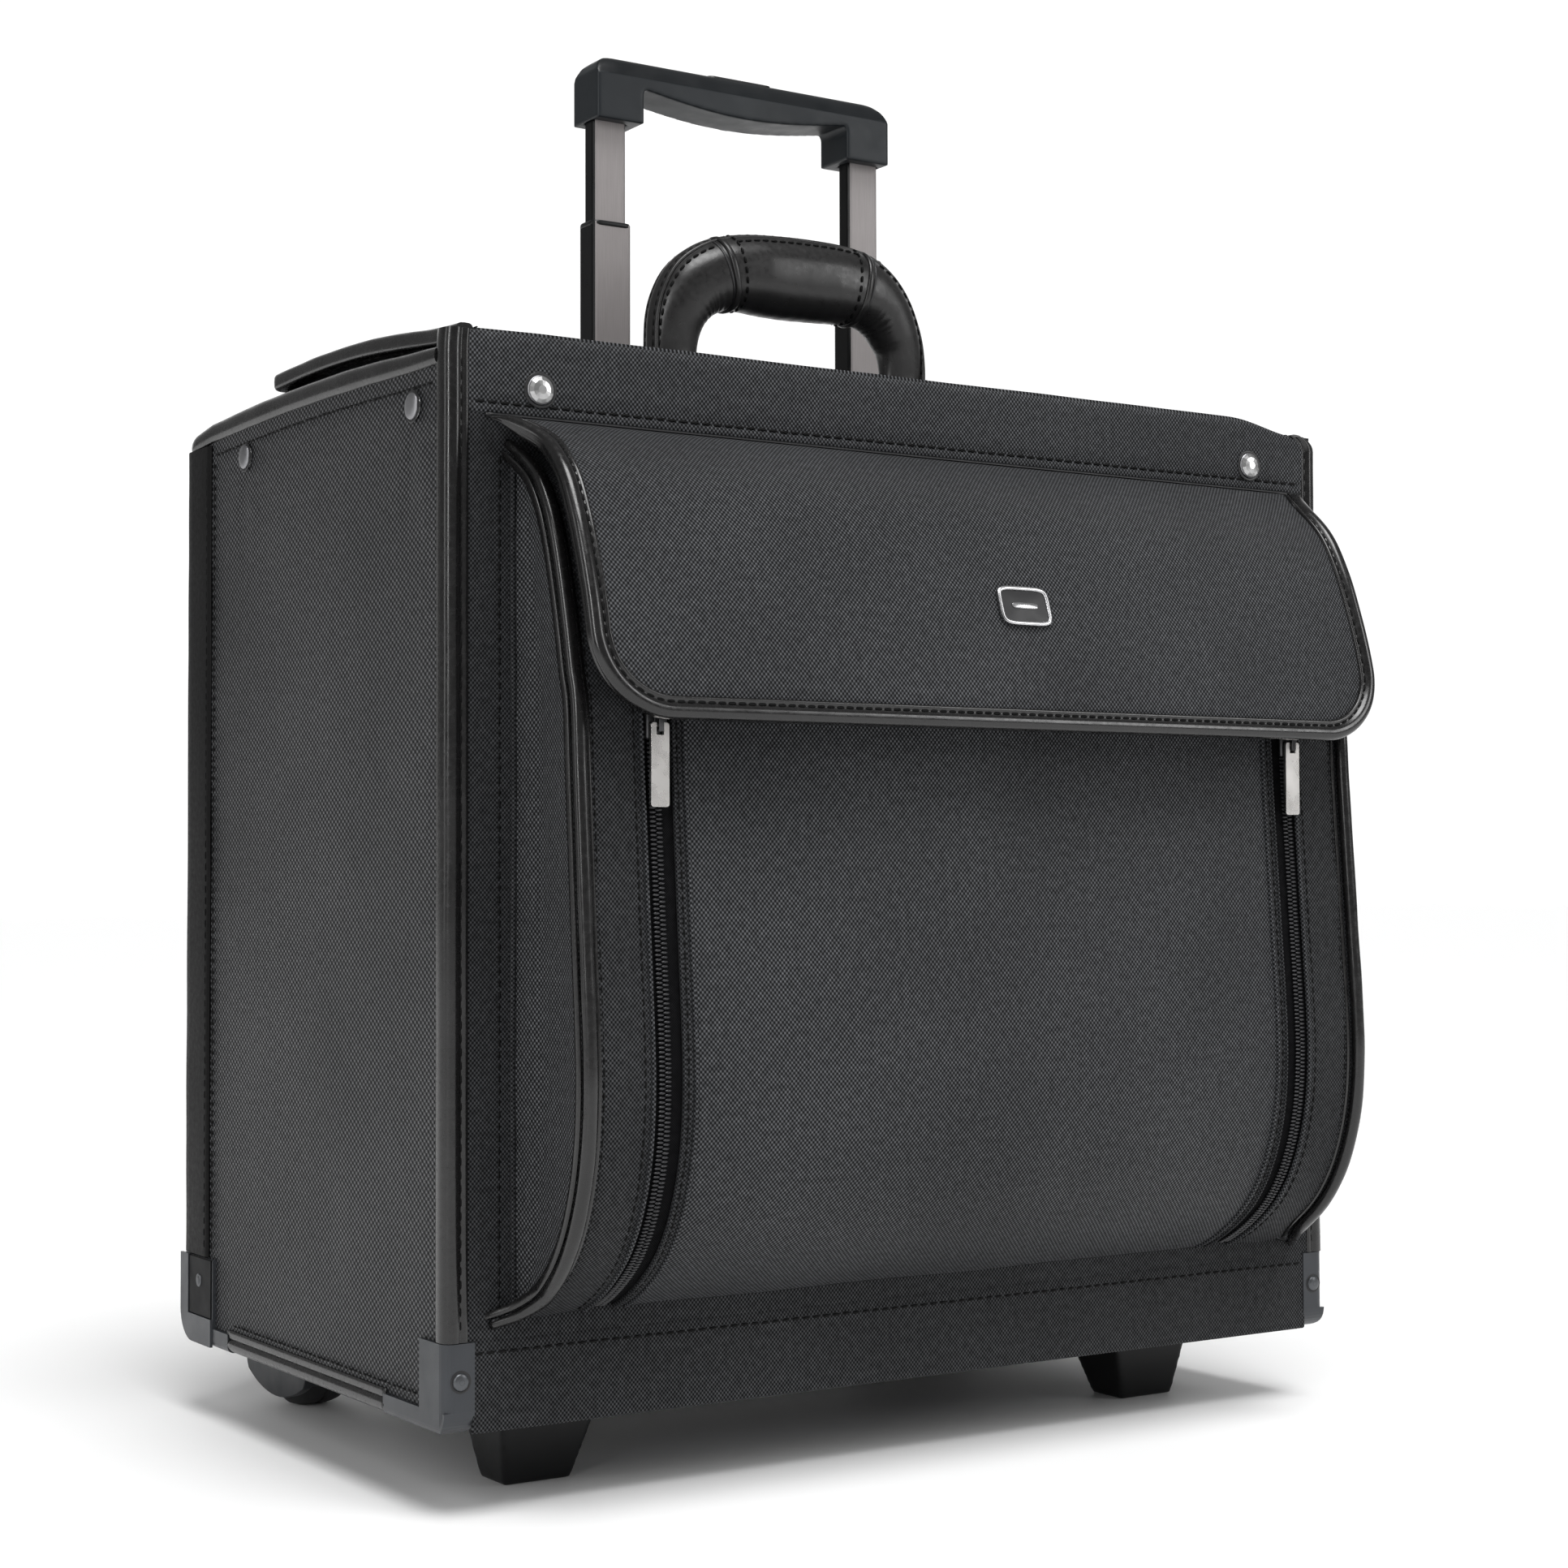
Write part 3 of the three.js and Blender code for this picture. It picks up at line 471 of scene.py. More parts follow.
def superellipse(a, b, n=24, p=2.6):
    t = np.linspace(0, 2 * math.pi, n, endpoint=False)
    return np.stack([a * np.sign(np.cos(t)) * np.abs(np.cos(t)) ** (2 / p), b * np.sign(np.sin(t)) * np.abs(np.sin(t)) ** (2 / p)], 1)


def joinmesh(parts):
    V, F, U, FM, k = [], [], [], [], 0
    for v, f, u, fm in parts:
        V.append(v)
        U.append(u)
        F += [tuple(i + k for i in g) for g in f]
        FM += fm
        k += len(v)
    return np.vstack(V), F, np.vstack(U), FM


def wobble(seed, amp, freq):
    def f(p):
        p = np.asarray(p, float).reshape(-1, 3)
        return np.array([noise.noise(Vector((q[0] * freq + seed, q[1] * freq - seed, q[2] * freq + 2 * seed))) for q in p]) * amp
    return f


def stitch_row(lines, body, name, pitch=5.4, length=3.7, width=0.85, height=0.55, mat="thread", lift=0.15, sides=6):
    """Sewing stitches along lines of (points, normals); each is a small rounded bead."""
    parts = []
    rng = np.random.default_rng(7)
    for pts, nrm in lines:
        pts = np.asarray(pts, float)
        nrm = np.broadcast_to(np.asarray(nrm, float), pts.shape)
        d = np.r_[0, np.cumsum(np.linalg.norm(np.diff(pts, axis=0), axis=1))]
        count = int((d[-1] - length) / pitch) + 1
        for c in range(count):
            c0 = length / 2 + c * pitch
            ts = c0 + np.array([-0.5, -0.36, 0.0, 0.36, 0.5]) * length
            P = np.stack([np.interp(ts, d, pts[:, i]) for i in range(3)], 1)
            Nn = unit(np.stack([np.interp(ts, d, nrm[:, i]) for i in range(3)], 1))
            t, u, v = frames(P, Nn)
            w = width / 2 * np.array([0.35, 0.85, 1.0, 0.85, 0.35])
            hh = height * np.array([0.15, 0.8, 1.0, 0.8, 0.15])
            jig = rng.normal(0, 0.06)
            a = np.linspace(0, 2 * math.pi, sides, endpoint=False) + math.pi / sides
            sec = np.stack([np.stack([w_ * np.cos(a) + jig, h_ * np.sin(a) * 0.8 + lift], 1) for w_, h_ in zip(w, hh)])
            parts.append(sweep("", P, u, v, sec, None, None, raw=True))
    V, F, U, FM = joinmesh(parts)
    return make(name, V, F, mat, body, uvs=U)


def from_cad(node, name, mat, body, bevel=0.5, seg=3, angle=32, sharp=45, fmat=None, sub=None):
    """A carried-over CAD shape with its edges rounded."""
    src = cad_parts[node]
    me = src.data.copy()
    me.materials.clear()
    me.name = name
    ob = bpy.data.objects.new(name, me)
    bpy.context.scene.collection.objects.link(ob)
    bm = bmesh.new()
    bm.from_mesh(me)
    bmesh.ops.remove_doubles(bm, verts=bm.verts, dist=1e-6)
    bmesh.ops.dissolve_limit(bm, angle_limit=math.radians(1.0), verts=bm.verts, edges=bm.edges)
    bm.to_mesh(me)
    bm.free()
    if bevel:
        md = ob.modifiers.new("b", "BEVEL")
        md.width = bevel / 1000
        md.segments = seg
        md.limit_method = "ANGLE"
        md.angle_limit = math.radians(angle)
        md.harden_normals = False
        md.use_clamp_overlap = True
        apply(ob)
    me = ob.data
    me.polygons.foreach_set("use_smooth", [p.area < 1.2e-5 for p in me.polygons])
    set_sharp(me, sharp)
    if fmat is not None:
        for p in me.polygons:
            p.material_index = fmat(p)
    return finish_piece(ob, mat, body, node)


def apply(ob):
    bpy.context.view_layer.update()
    dg = bpy.context.evaluated_depsgraph_get()
    me = bpy.data.meshes.new_from_object(ob.evaluated_get(dg))
    old = ob.data
    ob.modifiers.clear()
    ob.data = me
    bpy.data.meshes.remove(old)


def remeshed(node, name, mat, body, voxel=0.7, smooth=8, factor=0.5):
    """A moulded shape: the CAD solid remeshed and relaxed so that its edges are soft."""
    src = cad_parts[node]
    me = src.data.copy()
    me.materials.clear()
    ob = bpy.data.objects.new(name, me)
    bpy.context.scene.collection.objects.link(ob)
    bm = bmesh.new()
    bm.from_mesh(me)
    bmesh.ops.remove_doubles(bm, verts=bm.verts, dist=1e-6)
    bm.to_mesh(me)
    bm.free()
    r = ob.modifiers.new("r", "REMESH")
    r.mode = "VOXEL"
    r.voxel_size = voxel / 1000
    s = ob.modifiers.new("s", "SMOOTH")
    s.iterations = smooth
    s.factor = factor
    apply(ob)
    ob.data.polygons.foreach_set("use_smooth", [True] * len(ob.data.polygons))
    return finish_piece(ob, mat, body, node)


def lathe(name, prof, origin, axis, mat, body, n=40, replaces=()):
    """prof (r, h) from the axis to the axis, turned round axis at origin."""
    prof = np.asarray(prof, float)
    ax = unit(np.array(axis, float))
    ref = np.array([0, 0, 1.0]) if abs(ax[2]) < 0.9 else np.array([1.0, 0, 0])
    u = unit(np.cross(ref, ax))
    v = np.cross(ax, u)
    verts, F = [], []
    a = np.linspace(0, 2 * math.pi, n, endpoint=False)
    k = len(prof)
    closed = np.linalg.norm(prof[0] - prof[-1]) < 1e-6
    for r, h in prof:
        verts.append(np.array(origin) + h * ax + r * (np.cos(a)[:, None] * u + np.sin(a)[:, None] * v))
    V = np.vstack(verts)
    for i in range(k - 1):
        for j in range(n):
            j2 = (j + 1) % n
            F.append((i * n + j, i * n + j2, (i + 1) * n + j2, (i + 1) * n + j))
    me = bpy.data.meshes.new(name)
    me.from_pydata(W(V).tolist(), [], F)
    bm = bmesh.new()
    bm.from_mesh(me)
    bmesh.ops.remove_doubles(bm, verts=bm.verts, dist=1e-7)
    bmesh.ops.dissolve_degenerate(bm, edges=bm.edges, dist=1e-7)
    bmesh.ops.recalc_face_normals(bm, faces=bm.faces)
    bm.to_mesh(me)
    bm.free()
    me.polygons.foreach_set("use_smooth", [True] * len(me.polygons))
    set_sharp(me, 50)
    ob = bpy.data.objects.new(name, me)
    bpy.context.scene.collection.objects.link(ob)
    return finish_piece(ob, mat, body, replaces)


def both(fn):
    """Runs fn(side, mx) for left and right; mx maps x to its mirror for the right."""
    fn("left", lambda x: np.asarray(x, float))
    fn("right", lambda x: WID - np.asarray(x, float))


X, Y, Z = np.eye(3)

# ------------------------------------------------------------------ camera
yaw, pitch, roll = 0.577804, 0.03228, -0.002752
fwd = np.array([math.sin(yaw) * math.cos(pitch), math.cos(yaw) * math.cos(pitch), math.sin(pitch)])
right = np.array([math.cos(yaw), -math.sin(yaw), 0.0])
up = np.cross(right, fwd)
r_ = math.cos(roll) * right + math.sin(roll) * up
u_ = -math.sin(roll) * right + math.cos(roll) * up
cam = bpy.data.cameras.new("camera")
cam.lens = 3344.7136 * 36 / 1932
cam.sensor_width = 36
cam.clip_end = 60
camo = bpy.data.objects.new("camera", cam)
bpy.context.scene.collection.objects.link(camo)
mw = Matrix.Identity(4)
for i in range(3):
    mw[i][0], mw[i][1], mw[i][2] = r_[i], u_[i], -fwd[i]
loc = W([-456.99945, -937.764186, 214.338344])
for i in range(3):
    mw[i][3] = loc[i]
camo.matrix_world = mw
bpy.context.scene.camera = camo

# ------------------------------------------------------------------ profiles
POCKET = [[1.5, 383.5], [-8, 376.8], [-17, 368], [-25.5, 356], [-32, 341.5], [-37.2, 325], [-41.6, 308], [-45.6, 290], [-48.41, 280],
          [-50.4, 253], [-52.8, 220.5], [-55, 190.7], [-58, 150], [-58.4, 131], [-56.6, 110], [-52.4, 93], [-45.8, 77.5], [-36.5, 64], [-24.6, 53], [-11, 44], [1.5, 38]]
FLAP = [[-1.5, 391.6], [-8, 389.6], [-16, 385.8], [-28, 377.8], [-40, 365.8], [-49, 349.5], [-56, 331.5], [-61.8, 313], [-66, 294], [-68.3, 280], [-69, 270]]
PK, FL = Prof(POCKET), Prof(FLAP)

# ------------------------------------------------------------------ the box
def grid(a0, a1, na, b0, b1, nb):
    A, B = np.meshgrid(np.linspace(a0, a1, na), np.linspace(b0, b1, nb), indexing="ij")
    return A, B


SIDE_RIVETS = ((31.0, 397.6), (204.0, 400.0))
SIDE_EDGE = np.array([[6, 410.5], [35, 411.0], [74, 412.2], [115, 413.0], [158, 413.2], [204, 412.6], [243, 411.6], [270, 409.3]])


def side_skin(side, mx):
    yy, vv = grid(6.5, 258, 120, 0, 1, 170)
    top = np.interp(yy, SIDE_EDGE[:, 0], SIDE_EDGE[:, 1]) + 1.5
    zz = 3.5 + vv * (top - 3.5)
    edge = np.minimum(np.minimum((yy - 6.5) / 26, (258 - yy) / 26), np.minimum(vv, 1 - vv) * 408 / 26).clip(0, 1)
    puff = (1 - (1 - edge) ** 2)
    w1, w2 = wobble(3.1 if side == "left" else 9.7, 0.75, 1 / 70), wobble(1.3, 0.35, 1 / 26)
    P = np.stack([np.zeros_like(yy), yy, zz], -1)
    b = (w1(P) + w2(P)).reshape(yy.shape)
    # faint vertical fullness, as cloth over a thin board
    b += 0.7 * np.sin(math.pi * (yy - 6.5) / 251) ** 2 * np.sin(math.pi * vv) ** 0.6
    for ry, rz in SIDE_RIVETS:
        d = np.hypot(yy - ry, zz - rz)
        ang = np.arctan2(zz - rz, yy - ry)
        b += -0.55 * np.exp(-((d - 7) / 5.0) ** 2) + 0.8 * np.exp(-((d - 26) / 16.0) ** 2) * np.clip(-np.sin(ang), 0, 1) * (0.5 + 0.5 * np.cos(7 * ang + 0.8))
    P[..., 0] = mx(1.5 - puff * (0.15 + 0.55 * b))
    slab(f"side_cloth_{side}", P, np.stack([yy, zz], -1), 1.0, "fabric_side", "case", flip=(side == "left"))
    # stitch lines round the panel
    x = 0.75
    lines = []
    yl = np.linspace(14, 240, 80)
    zt = np.interp(yl, SIDE_EDGE[:, 0], SIDE_EDGE[:, 1]) - 6.5
    n = np.array([-1.0, 0, 0]) if side == "left" else np.array([1.0, 0, 0])
    lines.append((np.stack([mx(np.full_like(yl, x)), yl, zt], 1), n))
    zl = np.linspace(44, 402, 90)
    lines.append((np.stack([mx(np.full_like(zl, x)), np.full_like(zl, 240.5), zl], 1), n))
    yb = np.linspace(26, 214, 60)
    lines.append((np.stack([mx(np.full_like(yb, x)), yb, np.full_like(yb, 13.0)], 1), n))
    stitch_row(lines, "case", f"side_stitches_{side}", pitch=4.6, length=3.1, width=1.15, height=0.5, lift=0.1)


both(side_skin)


def board(name, x0, x1, z0, z1, y, sgn, mat="fabric", amp=0.5, nx=70, nz=70, cut=None):
    xx, zz = grid(x0, x1, nx, z0, z1, nz)
    P = np.stack([xx, np.zeros_like(xx), zz], -1)
    b = wobble(5.2, amp, 1 / 60)(P).reshape(xx.shape) + wobble(2.2, amp * 0.4, 1 / 22)(P).reshape(xx.shape)
    edge = np.minimum(np.minimum((xx - x0), (x1 - xx)), np.minimum(zz - z0, z1 - zz)).clip(0, 18) / 18
    P[..., 1] = y + sgn * (edge * b)
    return slab(name, P, np.stack([xx, zz], -1), 1.0, mat, "case", flip=(sgn > 0))


# front board, in the darker band fabric: its strip beside the pocket is painted shade of the pocket
board("front_cloth", 8, WID - 8, 33, 398, 0.8, -1, amp=0.35, mat="fabric_band")
_z = np.linspace(46, 378, 120)
for _s, _x in (("left", 23.5), ("right", WID - 23.5)):
    stitch_row([(np.stack([np.full_like(_z, _x), np.full_like(_z, 0.75), _z], 1), -Y)], "case", f"board_stitches_{_s}", pitch=4.6, length=3.0, width=1.1, height=0.5, lift=0.1)

# cloth behind: over the rear board, in one field
board("rear_cloth", 8, WID - 8, 36, 389, DEP - 0.6, 1, amp=0.6)


def band(name, x0, x1, z0, z1, yf, sgn, body, replaces, stitch_z=None, fold=0.9, mat="fabric_band", droop=None, roll=True):
    """A sewn-on band: folded lower edge, slight fullness, top rolled over the board."""
    n = 120
    xs = np.linspace(x0, x1, n)
    hgt = z1 - z0
    secs = []
    for x in xs:
        dz = 0.0 if droop is None else droop(x)
        wob = 0.25 * noise.noise(Vector((x / 34, 1.7, z0 / 50))) + 0.12 * noise.noise(Vector((x / 9, 4.7, 0)))
        pts = [(1.3, z0 + 0.1), (0.35, z0 - 0.15), (-0.25, z0 + 0.5), (-0.42, z0 + 1.6)]
        if stitch_z is not None:
            s = stitch_z
            pts += [(-0.45 - wob * 0.3, s - 1.6), (-0.05, s - 0.5), (-0.05, s + 0.5), (-0.5 - wob * 0.3, s + 1.9)]
        for f in (0.35, 0.5, 0.65, 0.8, 0.9):
            pts.append((-0.55 - wob * math.sin(math.pi * f) * 1.6, z0 + hgt * f))
        if roll:
            pts += [(-0.2, z1 - 1.4), (0.4, z1 - 0.5), (1.2, z1 - 0.05), (2.0, z1)]
            pts += [(2.0, z1 - 1.2), (1.3, z1 - 2.2)]
        else:
            pts += [(-0.1, z1 - 0.4), (1.3, z1)]
        secs.append([(sgn * a, b + dz * ((b - z0) / hgt) ** 1.2 if b > z0 else b) for a, b in pts])
    path = np.stack([xs, np.full(n, yf), np.zeros(n)], 1)
    secs = np.array(secs)
    v, f, uv, fm = sweep("", path, Y, Z, secs, None, None, raw=True)
    uv = np.stack([v[:, 0], v[:, 2]], 1)
    return make(name, v, f, mat, body, uvs=uv, replaces=replaces, sharp=60)


def front_droop(x):
    t = max(0.0, (x - 405) / 45)
    return -5.5 * t * t * (3 - 2 * t) if t < 1 else -5.5


band("front_top_cloth", 9.2, WID - 9.2, 392, 424.4, 0.7, 1, "case", "front_top_band", stitch_z=396.6, droop=front_droop, mat="fabric")
band("front_bottom_cloth", 12.4, WID - 12.4, 0.3, 35, 0.7, 1, "case", "front_bottom_band", roll=False)
band("rear_top_cloth", 11.4, WID - 11.4, 384, 418.6, DEP - 0.7, -1, "case", "rear_top_band", stitch_z=388.5)


# thin near-black cord under the top band's lower edge: a painted shadow line
_x = np.linspace(17, WID - 17, 120)
sweep("band_shadow_cord", np.stack([_x, np.full_like(_x, -0.15), np.full_like(_x, 391.7)], 1), Y, Z, circle(0.65, 8, 0.6), "inlay", "case")


def hem_stitches():
    xs = np.linspace(13, WID - 13, 200)
    top = np.stack([xs, np.full_like(xs, 0.62), np.full_like(xs, 396.6)], 1)
    low = np.stack([xs, np.full_like(xs, 0.25), np.full_like(xs, 30.6)], 1)
    stitch_row([(top, -Y)], "case", "top_band_stitches", pitch=5.4, length=3.9, width=1.5, height=0.6, lift=0.1)
    stitch_row([(low, -Y)], "case", "bottom_band_stitches", pitch=5.0, length=3.5, width=1.4, height=0.6, lift=0.1)
    rear = np.stack([xs, np.full_like(xs, DEP - 0.62), np.full_like(xs, 388.5)], 1)
    stitch_row([(rear, Y)], "case", "rear_band_stitches", pitch=5.4, length=3.6, width=0.95, height=0.5, lift=0.05)


hem_stitches()

# rear bottom band, with the openings for the wheel housings
def rear_bottom():
    me_parts = []
    for a, b in ((12.4, 36.0), (74.0, WID - 74.0), (WID - 36.0, WID - 12.4)):
        xs = np.linspace(a, b, max(3, int((b - a) / 4)))
        sec = [(-1.2, 0.5), (0.1, 0.3), (0.5, 1.4), (0.6, 10), (0.7, 20), (0.6, 30), (0.4, 37.5), (0.0, 38.9), (-1.2, 38.7)]
        me_parts.append(sweep("", np.stack([xs, np.full_like(xs, DEP - 0.7), np.zeros_like(xs)], 1), Y, Z, np.array(sec), None, None, raw=True))
    for a, b in ((36.0, 74.0), (WID - 74.0, WID - 36.0)):
        xs = np.linspace(a, b, 10)
        sec = [(-1.2, 35.8), (0.1, 35.6), (0.55, 36.2), (0.4, 37.5), (0.0, 38.9), (-1.2, 38.7)]
        me_parts.append(sweep("", np.stack([xs, np.full_like(xs, DEP - 0.7), np.zeros_like(xs)], 1), Y, Z, np.array(sec), None, None, raw=True))
    V, F, U, FM = joinmesh(me_parts)
    make("rear_bottom_cloth", V, F, "fabric_band", "case", uvs=np.stack([V[:, 0], V[:, 2]], 1), replaces="rear_bottom_band", sharp=60)


rear_bottom()

# ---- leather trims on the upright corners
def corner_trim(side, mx):
    # front corner: a rolled edge, then a narrow flat lip with a stitch ditch
    sec = [(1.9, 2.0), (1.9, 8.8), (1.2, 9.4), (0.45, 8.9), (0.1, 7.2), (0.0, 4.4), (0.35, 2.4), (1.1, 0.95), (2.4, 0.1), (4.2, -0.35), (5.6, -0.2), (6.5, 0.35), (7.1, 0.75),
           (7.7, 0.45), (8.7, 0.05), (9.9, 0.15), (10.4, 0.9), (10.2, 2.0)]
    zs = np.r_[np.linspace(35.3, 414, 150), [416.5, 418.6, 420.4, 421.8, 422.9, 423.7, 424.3]]
    k = len(zs)
    secs, pth = [], []
    for i, z in enumerate(zs):
        t = max(0.0, (z - 414) / 10.3)
        sh = 1 - 0.55 * t ** 3
        w = 0.18 * noise.noise(Vector((z / 26, 0.3, 2.1 if side == "left" else 6.1)))
        lean = 6.0 * t ** 2 if side == "right" else 0.6 * t ** 2
        secs.append([(mx(np.array(a)) if False else (a + w + lean), b + w) for a, b in sec])
        pth.append(z)
    S = np.array(secs)
    P = np.zeros((k, len(sec), 3))
    P[..., 0] = mx(S[..., 0])
    P[..., 1] = S[..., 1]
    P[..., 2] = zs[:, None]
    if side == "right":
        # the far corner sinks a little at its top, as the sewn end does
        P[..., 2] -= (5.0 * np.clip((zs - 405) / 19, 0, 1) ** 2)[:, None]
    V = P.reshape(-1, 3)
    s = len(sec)
    F = [(i * s + j, (i + 1) * s + j, (i + 1) * s + (j + 1) % s, i * s + (j + 1) % s) for i in range(k - 1) for j in range(s)]
    F += [tuple(range(s)), tuple((k - 1) * s + j for j in range(s))]
    make(f"front_corner_leather_{side}", V, F, "leather", "case", uvs=V[:, [0, 2]], replaces=f"front_{side}_trim", sharp=70)
    zl = np.linspace(40, 414, 120)
    stitch_row([(np.stack([mx(np.full_like(zl, 7.2)), np.full_like(zl, 0.72), zl], 1), -Y)], "case", f"front_corner_stitches_{side}", pitch=5.2, length=3.4, width=0.8, height=0.4, lift=0.0)
    # rear corner, in a darker, low-gloss copy of the leather as painted shade
    sec = [(1.8, 244.8), (0.9, 244.4), (0.15, 245.2), (-0.1, 248), (-0.15, 258), (-0.1, 266), (0.1, 270.5), (0.9, 273.3), (2.3, 274.7), (4.5, 275.1), (9.5, 275.1), (11.6, 274.9), (12.1, 274.2), (11.9, 273.2), (1.8, 273.2)]
    zs = np.linspace(39.8, 410.5, 150)
    P = np.zeros((len(zs), len(sec), 3))
    S = np.array(sec)
    wv = np.array([[0.22 * noise.noise(Vector((z / 30, y / 14, 5.5))) for _, y in sec] for z in zs])
    P[..., 0] = mx(S[None, :, 0] - wv)
    P[..., 1] = S[None, :, 1]
    P[..., 2] = zs[:, None]
    V = P.reshape(-1, 3)
    s = len(sec)
    k = len(zs)
    F = [(i * s + j, (i + 1) * s + j, (i + 1) * s + (j + 1) % s, i * s + (j + 1) % s) for i in range(k - 1) for j in range(s)]
    F += [tuple(range(s)), tuple((k - 1) * s + j for j in range(s))]
    make(f"rear_corner_leather_{side}", V, F, "leather_rear", "case", uvs=V[:, [1, 2]], replaces=f"rear_{side}_trim", sharp=70)
    zl = np.linspace(44, 405, 120)
    n = -X if side == "left" else X
    stitch_row([(np.stack([mx(np.full_like(zl, 0.0)), np.full_like(zl, 248.0), zl], 1), n)], "case", f"rear_corner_stitches_{side}", pitch=5.2, length=3.4, width=0.8, height=0.4, lift=0.05)


both(corner_trim)


def top_binding(side, mx):
    lo = np.array([[7, 410.8], [35, 411.0], [74, 412.2], [115, 413.0], [158, 413.2], [204, 412.6], [243, 411.6], [268.9, 409.5]])
    hi = np.array([[7, 417.6], [35, 419.0], [74, 421.3], [115, 422.3], [158, 422.6], [204, 421.8], [243, 420.4], [268.9, 416.6]])
    ys = np.r_[np.linspace(8.8, 262, 110), [265, 267.5, 269.6, 271.2, 272.2]]
    a = np.linspace(0, 2 * math.pi, 20, endpoint=False)
    P = np.zeros((len(ys), 20, 3))
    for i, y in enumerate(ys):
        zl, zh = np.interp(y, lo[:, 0], lo[:, 1]), np.interp(y, hi[:, 0], hi[:, 1])
        t = max(0, (y - 262) / 10.4)
        s = math.sqrt(max(0.03, 1 - t * t))
        zc, rz = (zl + zh) / 2, (zh - zl) / 2 + 0.3
        w = 0.2 * noise.noise(Vector((y / 22, 7.7, 0)))
        P[i, :, 0] = mx(3.6 + (4.1 + w) * s * np.sign(np.cos(a)) * np.abs(np.cos(a)) ** 0.78)
        P[i, :, 1] = y
        P[i, :, 2] = zc + (rz + w) * s * np.sign(np.sin(a)) * np.abs(np.sin(a)) ** 0.78 - 1.2 * t
    k, s = len(ys), 20
    V = P.reshape(-1, 3)
    F = [(i * s + j, (i + 1) * s + j, (i + 1) * s + (j + 1) % s, i * s + (j + 1) % s) for i in range(k - 1) for j in range(s)]
    F += [tuple(range(s)), tuple((k - 1) * s + j for j in range(s))]
    make(f"side_top_leather_{side}", V, F, "leather", "case", uvs=V[:, [1, 2]], replaces=f"{side}_top_binding", sharp=70)
    ys = np.linspace(54, 220, 60)
    pth = np.stack([mx(np.full_like(ys, 3.4)), ys, np.full_like(ys, 4.0)], 1)
    sweep(f"side_bottom_leather_{side}", pth, X, Z, circle(3.5, 16), "leather", "case", replaces=f"{side}_bottom_piping")
    # the thin sewn lip above the piping
    pth2 = np.stack([mx(np.full_like(ys, 1.1)), ys, np.full_like(ys, 8.6)], 1)
    sweep(f"side_bottom_lip_{side}", pth2, X, Z, superellipse(0.8, 2.0, 10), "leather", "case")


both(top_binding)

# ---- corner brackets and rivets
for e in ("front", "rear"):
    for s in ("left", "right"):
        ob = from_cad(f"{e}_{s}_bracket", f"corner_bracket_{e}_{s}", ["bracket", "darkmetal"], "case", bevel=0.35, seg=3, angle=28, sharp=33)
        # rear brackets: faces of the recessed inner field take the near-black fill as painted shade
        if e == "rear":
            for q in ob.data.polygons:
                c = np.array(q.center) * 1000 - OFF
                if abs(q.normal.x) > 0.9 and 236 < c[1] < 265.8 and c[2] > 12.3 and (c[0] < 0.6 or c[0] > WID - 0.6) and not (c[0] < -0.3 or c[0] > WID + 0.3):
                    q.material_index = 1


# a near-black plate over the recessed field of each rear bracket as painted shade, with a dark eyelet
for _s, _mx in (("left", lambda v: v), ("right", lambda v: WID - v)):
    lo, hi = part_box(f"rear_{_s}_bracket")
    y0, zt = 238.4, hi.z * 1000 - OFF[2] - 0.35
    V, F = [], []
    rows = [(0.5, 0.0), (-0.25, 0.0), (-0.5, 0.3)]
    for dx, ins in rows:
        V += [(_mx(dx), y0 + ins, 12.7 + ins), (_mx(dx), 265.3 - ins, 12.7 + ins), (_mx(dx), 265.3 - ins, zt - ins), (_mx(dx), y0 + ins, zt - ins)]
    for a in (0, 4):
        F += [(a + j, a + (j + 1) % 4, a + 4 + (j + 1) % 4, a + 4 + j) for j in range(4)]
    F += [(8, 9, 10, 11), (3, 2, 1, 0)]
    make(f"rear_bracket_field_{_s}", np.array(V, float), F, "darkmetal", "case", smooth=False)
    yc, zc = 253.0, 28.6
    ax = -X if _s == "left" else X
    lathe(f"rear_bracket_eyelet_{_s}", [(1.5, -0.2), (1.7, 0.25), (2.3, 0.42), (2.9, 0.25), (3.1, -0.2), (1.5, -0.2)], (_mx(-0.5), yc, zc), ax, "rivet_dark", "case", n=28)


def rivet(name, at, axis, r=5.6, h=2.1, mat="nickel", ring=True):
    dome = [(0, -0.4), (r - 0.3, -0.4), (r, 0.0), (r, 0.25)] + [(r * math.cos(t) ** 0.7, 0.3 + (h - 0.3) * math.sin(t)) for t in np.linspace(0.05, math.pi / 2, 12)]
    dome[-1] = (0, h)
    lathe(name, dome, at, axis, "rivet", "case", n=40)
    if ring:
        # near-black seat ring round the rivet: painted shadow of its recess
        lathe(name + "_seat", [(r - 0.6, -0.35), (r + 0.9, -0.3), (r + 1.25, 0.0), (r + 0.9, 0.22), (r + 0.1, 0.1), (r - 0.6, -0.35)], at, axis, "inlay", "case", n=40)


